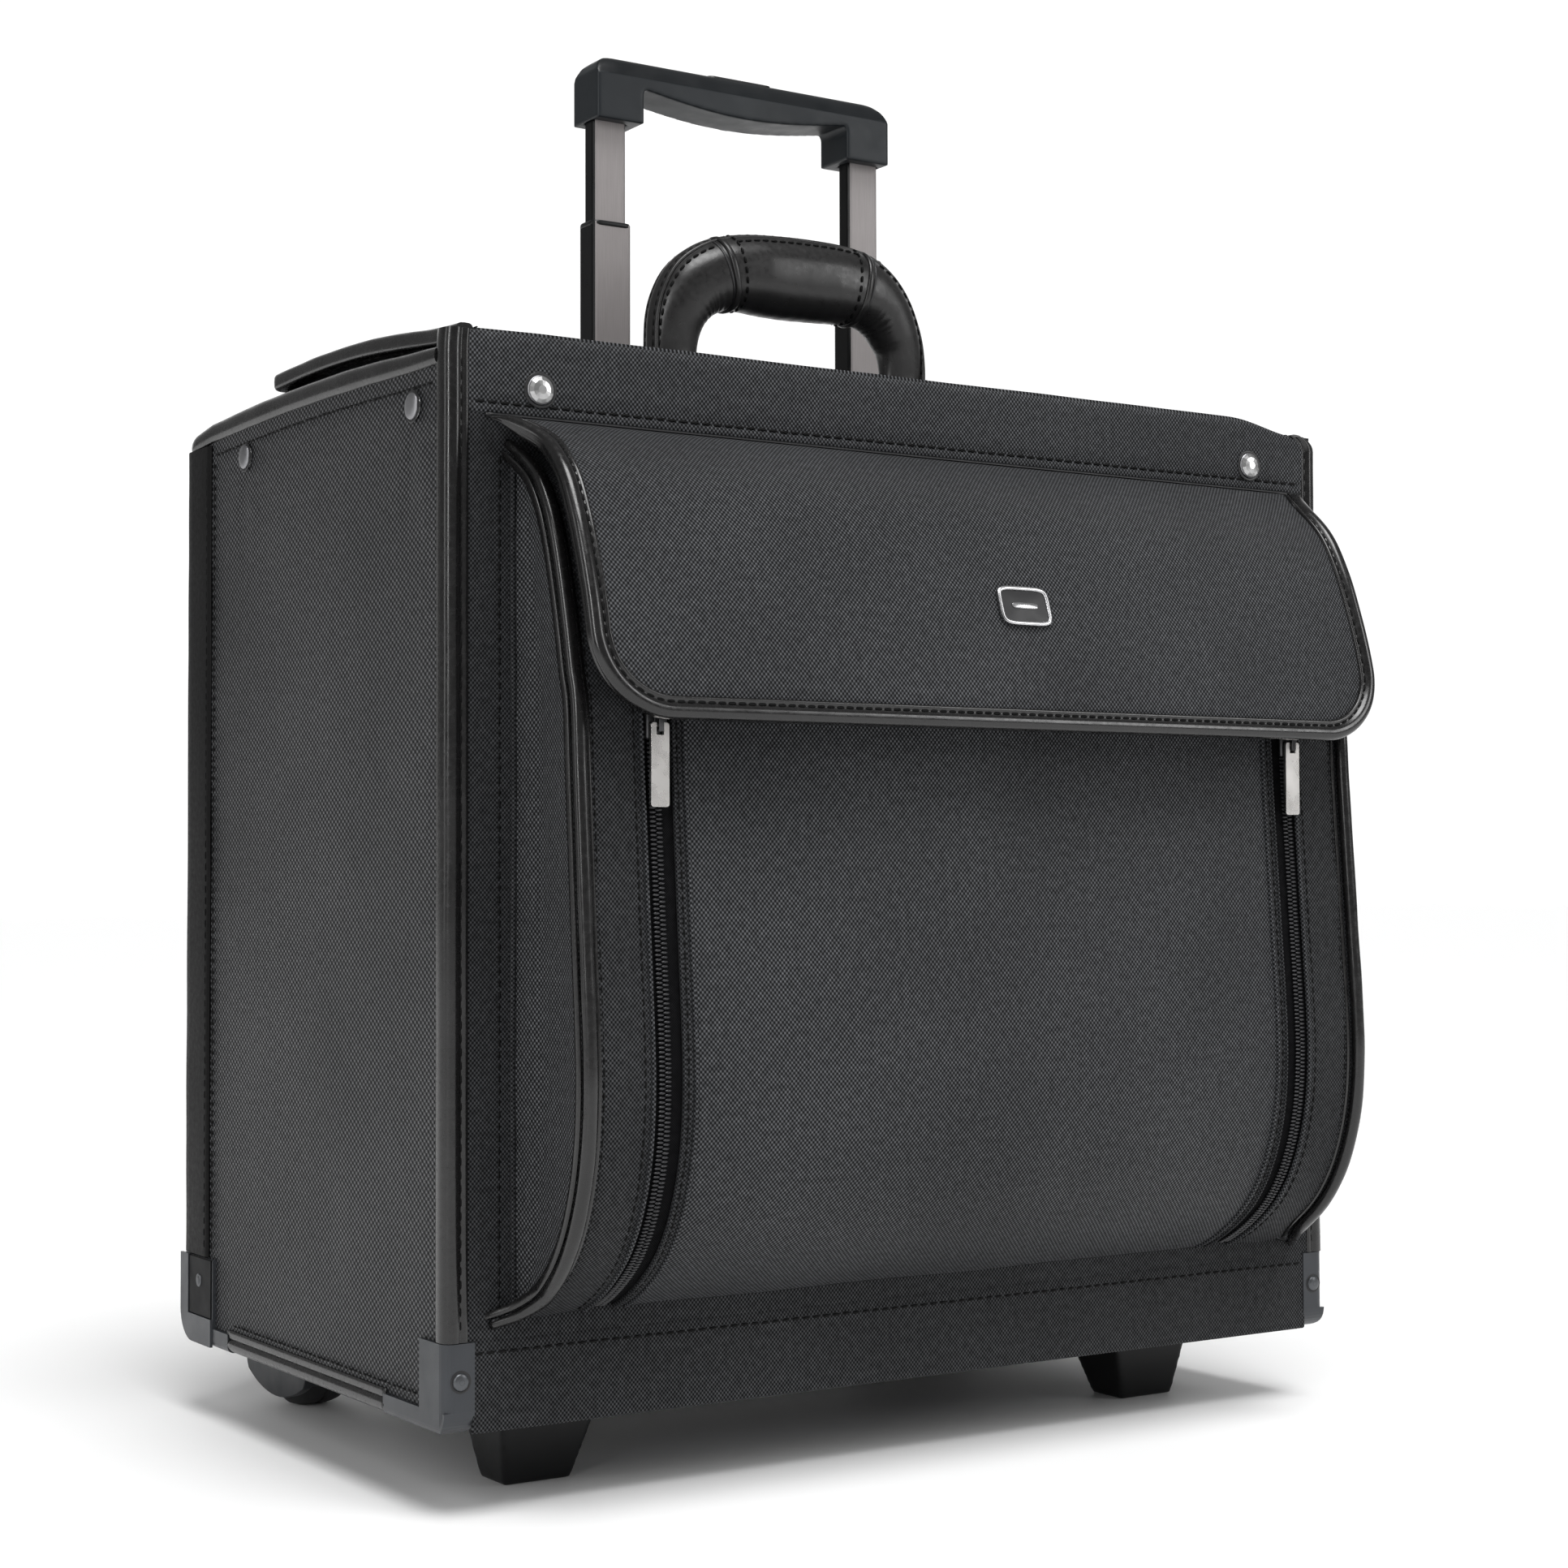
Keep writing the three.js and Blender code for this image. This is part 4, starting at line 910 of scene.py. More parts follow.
for _s, _x in (("left", 7.0), ("right", WID - 7.0)):
    lathe(f"bracket_rivet_{_s}", [(3.3, -0.6), (3.5, 0.0), (3.3, 0.5)] + [(3.3 * math.cos(t), 0.5 + 1.0 * math.sin(t)) for t in np.linspace(0.15, math.pi / 2 - 0.02, 8)] + [(0, 1.5)], (_x, 0.15, 20.6), -Y, "rivet_dark", "case", n=28)
    # near-black seat ring round the bracket rivet: painted shadow
    lathe(f"bracket_rivet_seat_{_s}", [(3.0, -0.1), (4.3, -0.05), (4.4, 0.12), (4.2, 0.2), (3.3, 0.15), (3.0, -0.1)], (_x, 0.05, 20.6), -Y, "inlay", "case", n=28)
rivet("rivet_front_left", (41, -0.1, 403), -Y, r=5.9, h=1.35)
rivet("rivet_front_right", (WID - 43, -0.1, 403), -Y, r=5.9, h=1.35)
for s, sg in (("left", -1), ("right", 1)):
    x = 0.6 if s == "left" else WID - 0.6
    rivet(f"rivet_{s}_front", (x, 31, 397.6), sg * X, r=5.4, h=1.6)
    rivet(f"rivet_{s}_rear", (x, 204, 400), sg * X, r=5.4, h=1.6)
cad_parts["mouth_frame"].data.materials.clear()
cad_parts["mouth_frame"].data.materials.append(M["steel"])

# carried-over boards: lining inside, as they show only when a lid is open
for n in ("front_panel", "rear_panel", "left_panel", "right_panel", "divider_panel"):
    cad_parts[n].data.materials.clear()
    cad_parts[n].data.materials.append(M["lining"])
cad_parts["base_panel"].data.materials.clear()
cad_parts["base_panel"].data.materials.append(M["blackplastic"])

# ------------------------------------------------------------------ the pocket
SK = 4.7  # cloth lies this far inside the piping line
s_top, s_mouth = 2.0, PK.s_of_z(322)
belly = wobble(4.4, 1.0, 1 / 55)


def flare(s):
    """How far the piping runs out sideways where it meets the board."""
    return 5.0 * np.clip((24 - s) / 24, 0, 1) ** 1.6 + 13.0 * np.clip((s - (PK.L - 30)) / 30, 0, 1) ** 1.8


ZX = 65.5
CH0, CH1, FOLD1 = ZX - 5.2, ZX + 8.2, ZX + 13.2  # zip channel, then the sewn fold beside it


def pocket_side(side, mx):
    # gusset wall between the front board and the piping, sagging a little inwards
    ns, nd = 130, 14
    ss = np.linspace(3.0, PK.L - 3.0, ns)
    ys, zs = PK.at(ss, -SK + 0.8)
    P = np.zeros((ns, nd, 3))
    for j, t in enumerate(np.linspace(0, 1, nd)):
        yb = 0.6
        y = yb + (ys - yb) * t
        depth = np.clip(np.abs(ys - yb) / 40, 0, 1)
        sag = 2.6 * math.sin(math.pi * t) * depth
        crease = 0.7 * math.exp(-((t - 0.34) / 0.07) ** 2) * depth
        lump = 0.7 * np.array([noise.noise(Vector((z / 30, t * 2, 3.3))) + 0.5 * noise.noise(Vector((z / 12, t * 3, 8.3))) for z in zs]) * depth
        P[:, j, 0] = 30.4 + sag + crease + lump - flare(ss) * t
        P[:, j, 1] = y
        P[:, j, 2] = zs
    P[..., 0] = mx(P[..., 0])
    uv = np.stack([P[..., 1], P[..., 2]], -1)
    slab(f"pocket_gusset_cloth_{side}", P, uv, 1.4, "gusset", "case", flip=(side == "right"))
    # fold where the gusset is sewn to the front
    zf = np.linspace(44, 378, 140)
    sweep(f"pocket_fold_{side}", np.stack([mx(29.4 + 0.3 * np.sin(zf / 31)), np.full_like(zf, 0.3), zf], 1), X, Y, circle(1.2, 8, 0.9), "fabric_band", "case")
    # strip between the piping and the zip, in the darker band fabric as painted shade of its recess
    f = np.linspace(0, 1, 16)
    ss = np.linspace(2.0, PK.L - 2.0, 170)
    SS, FF = np.meshgrid(ss, f, indexing="ij")
    x0 = 31.5 - flare(SS)
    XX = x0 + (CH0 - 0.4 - x0) * FF
    h = -SK + 0.25 + 0.6 * np.sin(math.pi * FF) + 0.3 * wobble(8.8, 1.0, 1 / 30)(np.stack([XX, SS, 0 * XX], -1)).reshape(XX.shape)
    P = PK.P(XX, SS, h)
    P[..., 0] = mx(P[..., 0])
    slab(f"pocket_strip_{side}", P, np.stack([XX, SS], -1), 1.4, "fabric_band", "case", flip=(side == "right"), replaces=f"pocket_gusset_{side}")
    lines = []

    def ridge(nm, xe, sa, a, b, hh, mat="fabric", n=240):
        s1 = np.linspace(sa, PK.L - 3.0, n)
        P1 = PK.P(np.broadcast_to(xe, s1.shape), s1, hh)
        P1[:, 0] = mx(P1[:, 0])
        t, u, v = frames(P1, PK.normal(s1))
        sweep(f"{nm}_{side}", P1, u, v, superellipse(a, b, 10), mat, "case")

    def row(xe, sa, hh, se=4.0):
        s1 = np.linspace(sa, PK.L - se, 260)
        P2 = PK.P(xe, s1, hh)
        P2[:, 0] = mx(P2[:, 0])
        lines.append((P2, PK.normal(s1)))

    ridge("zip_edge_outer", CH0, 6.0, 0.75, 1.1, -SK + 0.45)
    row(CH0 - 3.6, 8.0, -SK + 0.5)
    row(38.9, 26.0, -SK + 0.5, 32.0)
    # the sewn fold on the zip's other side: a dark ribbed strip with a thin raised edge
    s6 = np.linspace(s_mouth, PK.L - 2.5, 220)
    xs = np.linspace(CH1, FOLD1, 7)
    SS, XX = np.meshgrid(s6, xs, indexing="ij")
    g = (XX - CH1) / (FOLD1 - CH1)
    P = PK.P(XX, SS, -SK + 0.15 + 0.35 * np.sin(math.pi * g) - 0.5 * np.exp(-((g - 0.45) / 0.12) ** 2))
    P[..., 0] = mx(P[..., 0])
    slab(f"zip_fold_{side}", P, np.stack([XX, SS], -1), 1.4, "fabric_band", "case", flip=(side == "right"))
    ridge("zip_edge_fold", CH1 + 0.2, s_mouth, 0.55, 1.0, -SK + 0.2, "fabric_band")
    ridge("zip_edge_inner", FOLD1 + 0.3, s_mouth, 0.7, 0.9, -SK + 0.55)
    row(CH1 + 2.2, s_mouth + 2, -SK + 0.15)
    stitch_row(lines, "case", f"pocket_stitches_{side}", pitch=4.4, length=3.0, width=0.95, height=0.5, lift=0.05)
    # piping: a fat roll and the flat lip beside it
    s4 = np.linspace(1.0, PK.L - 1.5, 260)
    fl = flare(s4)
    thin = 1 - 0.35 * np.clip((s4 - (PK.L - 26)) / 26, 0, 1) - 0.25 * np.clip((14 - s4) / 14, 0, 1)
    dent = np.array([0.07 * noise.noise(Vector((v / 22, 3.3, 1.0))) for v in s4])
    P4 = PK.P(32.2 - fl, s4, -2.2)
    P4[:, 0] = mx(P4[:, 0])
    N4 = PK.normal(s4)
    t, u, v = frames(P4, N4)
    sweep(f"pocket_piping_roll_{side}", P4, u, v, superellipse(2.9, 2.6, 18, 2.2), "leather", "case", replaces=f"pocket_piping_{side}", scale=(1 + dent) * thin)
    P5 = PK.P(36.9 - fl, s4, -SK + 0.7)
    P5[:, 0] = mx(P5[:, 0])
    t, u, v = frames(P5, N4)
    sweep(f"pocket_piping_lip_{side}", P5, u, v, superellipse(0.95, 0.8, 12), "leather", "case", scale=thin)
    P6 = PK.P(28.9 - fl, s4, -SK - 0.9)
    P6[:, 0] = mx(P6[:, 0])
    t, u, v = frames(P6, N4)
    sweep(f"pocket_piping_back_{side}", P6, u, v, superellipse(0.85, 1.9, 12), "leather", "case", scale=thin)
    # zip tape, in the channel between the folded edges
    s5 = np.linspace(s_mouth + 1, PK.L - 3.0, 200)
    xs = np.linspace(CH0 + 0.2, CH1 - 0.1, 5)
    SS, XX = np.meshgrid(s5, xs, indexing="ij")
    P = PK.P(XX, SS, -SK - 1.0)
    P[..., 0] = mx(P[..., 0])
    slab(f"zip_tape_{side}", P, np.stack([XX, SS], -1), 0.8, "tape", "case", flip=(side == "right"), replaces=f"zip_{side}")
    # coil teeth: two staggered rows of beads
    parts = []
    ball = [(-0.5, 0.25), (-0.36, 0.8), (0.0, 1.0), (0.36, 0.8), (0.5, 0.25)]
    pitch_t = 1.75
    count = int((PK.L - 6 - s_mouth - 2) / pitch_t)
    for row_, dx in ((0, -1.35), (1, 1.35)):
        for c in range(count):
            sv = s_mouth + 2 + (c + 0.5 * row_) * pitch_t
            y, z = PK.at(sv, -SK + 0.15)
            nrm = PK.normal(sv)
            tg = np.array([0, nrm[2], -nrm[1]])
            cen = np.array([ZX + dx, y, z])
            ring = circle(0.56, 6)
            V = np.vstack([cen + X * q * 2.9 + (ring[:, :1] * w_ * nrm * 1.15 + ring[:, 1:] * w_ * tg) for q, w_ in ball])
            V[:, 0] = mx(V[:, 0])
            fs = [(i * 6 + j, (i + 1) * 6 + j, (i + 1) * 6 + (j + 1) % 6, i * 6 + (j + 1) % 6) for i in range(4) for j in range(6)]
            fs += [tuple(range(6)), tuple(24 + j for j in range(6))]
            parts.append((V, fs, V[:, [0, 2]], [0] * len(fs)))
    V, F, U, FM = joinmesh(parts)
    make(f"zip_teeth_{side}", V, F, "teeth", "case", uvs=U)


both(pocket_side)


def pocket_front():
    x0, x1 = FOLD1 + 0.3, WID - FOLD1 - 0.3
    xs = np.linspace(x0, x1, 110)
    ss = np.linspace(s_mouth, PK.L - 2.0, 150)
    SS, XX = np.meshgrid(ss, xs, indexing="ij")
    f = (XX - x0) / (x1 - x0)
    g = (SS - s_mouth) / (PK.L - 2.0 - s_mouth)
    full = 1.6 * np.sin(math.pi * f) ** 0.5 * np.sin(math.pi * np.clip(g, 0, 1)) ** 0.7
    h = -SK + 0.25 + full + 0.7 * np.minimum(1, np.minimum(f, 1 - f) * 16) * belly(np.stack([XX, SS, 0 * XX], -1)).reshape(XX.shape)
    slab("pocket_front_cloth", PK.P(XX, SS, h), np.stack([XX, SS], -1), 1.6, "fabric", "case", replaces="pocket_front_panel")
    # bound top hem of the pocket mouth
    P = PK.P(xs, np.full_like(xs, s_mouth), -SK - 0.4)
    sweep("pocket_mouth_hem", P, Y, Z, superellipse(1.6, 2.6, 14), "leather", "case")


pocket_front()

# ------------------------------------------------------------------ sliders and pulls
for s in ("left", "right"):
    from_cad(f"zip_slider_{s}", f"slider_{s}", "slider", f"zip_slider_{s}", bevel=0.35, seg=2, sharp=50)
    from_cad(f"zip_pull_{s}", f"pull_{s}", "chrome_pull", f"zip_pull_{s}", bevel=0.55, seg=4, sharp=60)

# ------------------------------------------------------------------ the flap
FX0, FX1 = 28.0, WID - 28.0
HEM_S = FL.s_of_z(271.5)
FC = 33.0


def flap_flare(s):
    """The flap's upper corners run out sideways to where they are sewn under the band."""
    return 12.5 * np.clip((30 - s) / 28, 0, 1) ** 1.5


def flap_path(inset, n_side=110, n_corner=22, n_low=160, top_s=2.2):
    """(x, s) line of the flap's edge, inset towards the middle: left side, hem, right side."""
    r = FC - inset
    a, b = FX0 + inset, FX1 - inset
    low = HEM_S - inset
    left = [(a - flap_flare(s), s) for s in np.linspace(top_s, low - r, n_side)]
    c1 = [(a + r - r * math.cos(t), low - r + r * math.sin(t)) for t in np.linspace(0, math.pi / 2, n_corner)[1:]]
    mid = [(x, low) for x in np.linspace(a + r, b - r, n_low)[1:]]
    c2 = [(b - r + r * math.sin(t), low - r + r * math.cos(t)) for t in np.linspace(0, math.pi / 2, n_corner)[1:]]
    rt = [(b + flap_flare(s), s) for s in np.linspace(low - r, top_s, n_side)[1:]]
    return np.array(left + c1 + mid + c2 + rt)


FLW = wobble(6.6, 0.55, 1 / 48)


def on_flap(xs, h):
    P = FL.P(xs[:, 0], xs[:, 1], h)
    return P, FL.normal(xs[:, 1])


def flap():
    # cloth field: rows across, fitted inside the binding
    inset = 8.6
    edge = flap_path(inset)
    low, r = HEM_S - inset, FC - inset
    ss = np.r_[np.linspace(0.6, low - r, 70), low - r + r * np.sin(np.linspace(0, math.pi / 2, 22)[1:])]
    rows = []
    nx = 120
    for s in ss:
        k = max(0.0, s - (low - r)) / r
        dx = r - r * math.sqrt(max(0.0, 1 - min(1, k) ** 2))
        x = np.linspace(FX0 + inset + dx - flap_flare(s), FX1 - inset - dx + flap_flare(s), nx)
        rows.append(np.stack([x, np.full(nx, s)], 1))
    G = np.array(rows)
    f = (G[..., 0] - G[:, :1, 0]) / (G[:, -1:, 0] - G[:, :1, 0])
    g = G[..., 1] / low
    pad = 0.9 * np.clip(np.minimum(np.minimum(f, 1 - f) * 20, np.minimum((1 - g) * 8, g * 8)), 0, 1) ** 0.6
    h = -0.75 + pad + FLW(np.stack([G[..., 0], G[..., 1], 0 * f], -1)).reshape(f.shape) * pad
    # the cloth lies flat under the emblem
    near = np.exp(-(((G[..., 0] - 234) / 26) ** 2 + ((G[..., 1] - FL.s_of_z(323)) / 18) ** 2))
    h = h * (1 - near) - 0.75 * near
    P = FL.P(G[..., 0], G[..., 1], h)
    slab("flap_cloth", P, G, 3.0, "fabric", "pocket_flap", replaces="flap_panel")
    # binding: rolled outer edge, stitch ditch, thin inner lip, then the underside
    # a = distance in from the outer edge, h = height over the flap line
    sec = np.array([(8.9, -0.9), (8.7, 0.2), (8.2, 0.62), (7.5, 0.6), (7.0, 0.1), (6.4, -0.15), (5.9, 0.2), (5.3, 0.95), (4.3, 1.45), (3.0, 1.6), (1.7, 1.3), (0.7, 0.55), (0.1, -0.5), (-0.1, -1.5),
                    (0.35, -2.3), (0.1, -3.1), (0.2, -4.2), (0.9, -5.1), (2.0, -5.5), (3.4, -5.2), (5.5, -4.6), (8.9, -4.3)])
    E = flap_path(0.0)
    base, nrm = on_flap(E, 0.0)
    t = unit(np.gradient(base, axis=0))
    inw = np.cross(nrm, t)
    mid = np.array([WID / 2, *FL.at(HEM_S * 0.4)])
    if np.einsum("ij,ij->i", inw, mid - base).sum() < 0:
        inw = -inw
    hold = np.clip((E[:, 1:] - 3.0) / 24.0, 0, 1)
    inw = unit(inw * hold + np.stack([np.sign(inw[:, 0]), 0 * E[:, 0], 0 * E[:, 0]], 1) * (1 - hold))
    wv = np.array([0.14 * noise.noise(Vector((p[0] / 16, p[2] / 16, 9.9))) for p in base])
    # thin the binding where it reaches the hinge
    k = len(base)
    sc = np.ones(k)
    end = np.minimum(np.arange(k), np.arange(k)[::-1])
    taper = np.clip(end / 14.0, 0, 1)
    S = np.broadcast_to(sec, (k, *sec.shape)).copy()
    S[..., 1] = np.where(S[..., 1] > -0.5, S[..., 1], S[..., 1] * (0.35 + 0.65 * taper[:, None]))
    S[..., 1] += wv[:, None]
    # and flatten it to the cloth over the last few millimetres, so that it folds clear of the band
    w = np.clip((E[:, 1] - 2.0) / 9.0, 0, 1)[:, None] ** 0.7
    S[..., 1] = S[..., 1] * w + (-0.9 + 0.12 * S[..., 1]) * (1 - w)
    sweep("flap_leather", base, inw, nrm, S, "leather", "pocket_flap", replaces="flap_binding", sharp=75)
    D = flap_path(6.45)
    P2, N2 = on_flap(D, -0.1)
    stitch_row([(P2, N2)], "pocket_flap", "flap_stitches", pitch=4.5, length=3.3, width=1.25, height=0.5, lift=0.15)


flap()
def emblem():
    """A plain plate: a bright rim round a dark field."""
    c0 = FL.P(234.0, FL.s_of_z(323), 0.15)
    nrm = FL.normal(FL.s_of_z(323))
    tv = np.array([0, nrm[2], -nrm[1]])
    tv = tv if tv[2] > 0 else -tv
    a, b = 13.3, 8.8
    rim = [(-1.6, -0.1), (-1.6, 1.0), (-1.25, 1.3), (-0.3, 1.3), (0.1, 1.0), (0.1, -0.1)]
    path = superellipse(a - 0.3, b - 0.3, 72, 5)
    P = c0 + path[:, :1] * X + path[:, 1:] * tv
    tt = unit(np.roll(P, -1, 0) - np.roll(P, 1, 0))
    outn = np.cross(tt, nrm)
    if np.einsum("ij,ij->i", outn, P - c0).sum() < 0:
        outn = -outn
    sweep("emblem_rim", P, outn, np.broadcast_to(nrm, P.shape), np.array(rim), "nickel", "pocket_flap", closed=True, sharp=50, replaces="emblem")
    q = superellipse(a - 1.7, b - 1.7, 72, 5)
    V = np.vstack([c0 + q[:, :1] * X + q[:, 1:] * tv + nrm * h for h in (-0.2, 0.55)] + [c0 + 0.94 * q[:, :1] * X + 0.94 * q[:, 1:] * tv + nrm * 0.65, [c0 + nrm * 0.65]])
    n = len(q)
    F = [(i + k * n, (i + 1) % n + k * n, (i + 1) % n + (k + 1) * n, i + (k + 1) * n) for k in (0, 1) for i in range(n)] + [(i + 2 * n, (i + 1) % n + 2 * n, 3 * n) for i in range(n)]
    make("emblem_field", V, F, "inlay", "pocket_flap", uvs=V[:, [0, 2]], sharp=40)
    bar = superellipse(6.6, 1.25, 36, 4)
    V = np.vstack([c0 + bar[:, :1] * X + bar[:, 1:] * tv + nrm * h for h in (0.4, 1.0)] + [c0 + 0.9 * bar[:, :1] * X + 0.7 * bar[:, 1:] * tv + nrm * 1.2, [c0 + nrm * 1.2]])
    n = len(bar)
    F = [(i + k * n, (i + 1) % n + k * n, (i + 1) % n + (k + 1) * n, i + (k + 1) * n) for k in (0, 1) for i in range(n)] + [(i + 2 * n, (i + 1) % n + 2 * n, 3 * n) for i in range(n)]
    make("emblem_bar", V, F, "nickel", "pocket_flap", uvs=V[:, [0, 2]], sharp=40)


emblem()

# ------------------------------------------------------------------ front lid
LID_HI = np.array([[2.4, 426.2], [14, 426.6], [26, 427.6], [60, 431.0], [95, 433.8], [140, 434.9], [187.5, 434.0]])
LID_LO = np.array([[2.4, 420.2], [14, 420.5], [26, 421.4], [60, 425.0], [95, 427.6], [140, 428.7], [187.5, 427.7]])
LHI, LLO = catmull(LID_HI), catmull(LID_LO)


def lid_z(y, which=LHI):
    return np.interp(y, which[:, 0], which[:, 1])


def front_lid():
    nx0, nx1, ny = 146.5, 333.5, 157.5

    def field(name, x0, x1, y0, y1, nxs, nys):
        xx, yy = grid(x0, x1, nxs, y0, y1, nys)
        e = np.minimum(np.minimum(xx - 10, WID - 10 - xx), 30).clip(0, 30) / 30
        P = np.stack([xx, yy, lid_z(yy) - 0.6 + 0.5 * e + wobble(7.1, 0.35, 1 / 45)(np.stack([xx, yy, 0 * xx], -1)).reshape(xx.shape) * e], -1)
        back = np.stack([xx, yy, lid_z(yy, LLO) + 0.4], -1)
        return slab(name, P, np.stack([xx, yy], -1), 5, "fabric", "front_lid", flip=False, back=back)

    a = field("front_lid_cloth", 9.5, WID - 9.5, 4.5, ny - 1.5, 120, 60)
    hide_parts("front_lid")
    field("front_lid_cloth_left", 9.5, nx0 - 3.2, ny - 1.6, 184.5, 40, 14)
    field("front_lid_cloth_right", nx1 + 3.2, WID - 9.5, ny - 1.6, 184.5, 36, 14)

    # leather binding round the free edges: a soft rounded band about 8 mm high
    def edge_path():
        pts = []
        for y in np.linspace(3.2, 182.8, 90):
            pts.append((9.8, y))
        for t in np.linspace(0, math.pi / 2, 7)[1:]:
            pts.append((9.8 + 1.8 * (1 - math.cos(t)), 182.8 + 1.8 * math.sin(t)))
        for x in np.linspace(12, nx0 - 5, 50):
            pts.append((x, 184.6))
        for y in np.linspace(183, ny + 1, 14):
            pts.append((nx0 - 3.4, y))
        for x in np.linspace(nx0 - 0.6, nx1 + 0.6, 60):
            pts.append((x, ny - 2.2))
        for y in np.linspace(ny + 1, 183, 14):
            pts.append((nx1 + 3.4, y))
        for x in np.linspace(nx1 + 5, WID - 12, 50):
            pts.append((x, 184.6))
        for t in np.linspace(math.pi / 2, 0, 7)[:-1]:
            pts.append((WID - 9.8 - 1.8 * (1 - math.cos(t)), 182.8 + 1.8 * math.sin(t)))
        for y in np.linspace(182.8, 3.2, 90):
            pts.append((WID - 9.8, y))
        return np.array(pts)

    E = edge_path()
    zc = (lid_z(E[:, 1]) + lid_z(E[:, 1], LLO)) / 2
    P = np.stack([E[:, 0], E[:, 1], zc], 1)
    t, u, v = frames(P, Z)
    wv = np.array([1 + 0.04 * noise.noise(Vector((p[0] / 17, p[1] / 17, 3.9))) for p in P])
    sweep("front_lid_leather", P, u, v, superellipse(3.7, 3.75, 20, 3.4), "leather", "front_lid", scale=wv, sharp=75)
    # down-turned rear flange behind the lid
    parts = []
    for a0, a1 in ((12.5, nx0 - 1.0), (nx1 + 1.0, WID - 12.5)):
        xs = np.linspace(a0, a1, 40)
        sec = np.array([(-1.4, 420.6), (1.4, 420.6), (1.6, 424), (1.5, 429.5), (-1.5, 429.5), (-1.6, 424)])
        parts.append(sweep("", np.stack([xs, np.full_like(xs, 184.9), 0 * xs], 1), Y, Z, sec, None, None, raw=True))
    V, F, U, FM = joinmesh(parts)
    make("front_lid_flange", V, F, "leather", "front_lid", uvs=V[:, [0, 2]], sharp=50)
    # stitches beside the binding
    I = E.copy()
    tt = unit(np.gradient(P, axis=0))
    cx = WID / 2
    off = np.cross(tt, Z)
    cen = np.array([cx, 90, 430])
    # offset towards the cloth
    Q = P - off * 5.6
    Q[:, 2] = lid_z(Q[:, 1]) - 0.25
    keep_l = [i for i in range(len(Q)) if Q[i, 1] < 178 and Q[i, 0] < 60]
    keep_r = [i for i in range(len(Q)) if Q[i, 1] < 178 and Q[i, 0] > WID - 60]
    for nm, kk in (("left", keep_l), ("right", keep_r)):
        L = Q[kk]
        L[:, 0] = 15.3 if nm == "left" else WID - 15.3
        L[:, 2] = lid_z(L[:, 1]) - 0.35
        stitch_row([(L, Z)], "front_lid", f"front_lid_stitches_{nm}", pitch=5.0, length=3.4, width=0.8, height=0.45, lift=0.05)


front_lid()


def rear_lid():
    xx, yy = grid(10.5, WID - 10.5, 110, 193, DEP - 5.0, 30)
    e = np.minimum(np.minimum(xx - 10, WID - 10 - xx), np.minimum(yy - 192, DEP - 4 - yy)).clip(0, 25) / 25
    P = np.stack([xx, yy, 418.4 + 0.7 * e + wobble(3.7, 0.4, 1 / 45)(np.stack([xx, yy, 0 * xx], -1)).reshape(xx.shape) * e], -1)
    back = np.stack([xx, yy, np.full_like(xx, 413.0)], -1)
    slab("rear_lid_cloth", P, np.stack([xx, yy], -1), 5, "fabric", "rear_lid", back=back, replaces="rear_lid")
    pts = [(11.2, y) for y in np.linspace(DEP - 4.5, 195, 40)] + [(11.2 + 2.0 * (1 - math.cos(t)), 195 - 2.0 * math.sin(t)) for t in np.linspace(0, math.pi / 2, 7)[1:]]
    pts += [(x, 193.0) for x in np.linspace(14, WID - 14, 120)]
    pts += [(WID - 11.2 - 2.0 * (1 - math.cos(t)), 195 - 2.0 * math.sin(t)) for t in np.linspace(math.pi / 2, 0, 7)[:-1]] + [(WID - 11.2, y) for y in np.linspace(195, DEP - 4.5, 40)]
    E = np.array(pts)
    P = np.stack([E[:, 0], E[:, 1], np.full(len(E), 415.8)], 1)
    t, u, v = frames(P, Z)
    sweep("rear_lid_leather", P, u, v, superellipse(2.7, 3.2, 18, 3.0), "leather", "rear_lid", sharp=75)
    # cloth hinge at the back edge
    xs = np.linspace(12, WID - 12, 60)
    sec = circle(1.6, 12)
    sweep("rear_lid_hinge_roll", np.stack([xs, np.full_like(xs, DEP - 4.2), np.full_like(xs, 417.2)], 1), Y, Z, sec, "fabric", "rear_lid")


rear_lid()
from_cad("handle_plate", "handle_plate_metal", "bracket", "front_lid", bevel=0.35, seg=2, sharp=50)

def far_corner():
    """Front lid, its binding and the board follow the band where it slopes down at the far corner."""
    for nm in [k for k in PIECES if k.startswith("front_lid")]:
        ob = PIECES[nm]
        co = np.zeros(len(ob.data.vertices) * 3)
        ob.data.vertices.foreach_get("co", co)
        co = co.reshape(-1, 3) * 1000 - OFF
        t = np.clip((co[:, 0] - 405) / 45, 0, 1)
        a = np.clip((95 - co[:, 1]) / 80, 0, 1)
        co[:, 2] -= 6.2 * t * t * (3 - 2 * t) * a * a * (3 - 2 * a)
        ob.data.vertices.foreach_set("co", W(co).ravel())
        ob.data.update()


far_corner()

# ------------------------------------------------------------------ carry handle
HY, HZ = 109.0, 444.0
OUT = np.array([[154, 440], [154, 452.5], [155, 467], [160, 481], [165.5, 489], [172, 494.5], [180, 499.3], [188, 502.4], [199, 505], [210, 506.3], [233, 507.4], [255.5, 507], [267, 505.4], [276, 502.6], [283, 498.4], [288, 494], [293.5, 487], [297.5, 479], [301, 469], [303, 456], [303, 440]])
INN = np.array([[178, 440], [178, 451], [179, 456], [181, 461], [184, 464.8], [188, 468], [193, 470], [199, 471], [211, 470.4], [223.5, 470], [235, 470.2], [246, 470.6], [257, 471], [265, 471], [270, 469.6], [274, 467], [277, 463.5], [280, 458.5], [281, 452], [281, 440]])


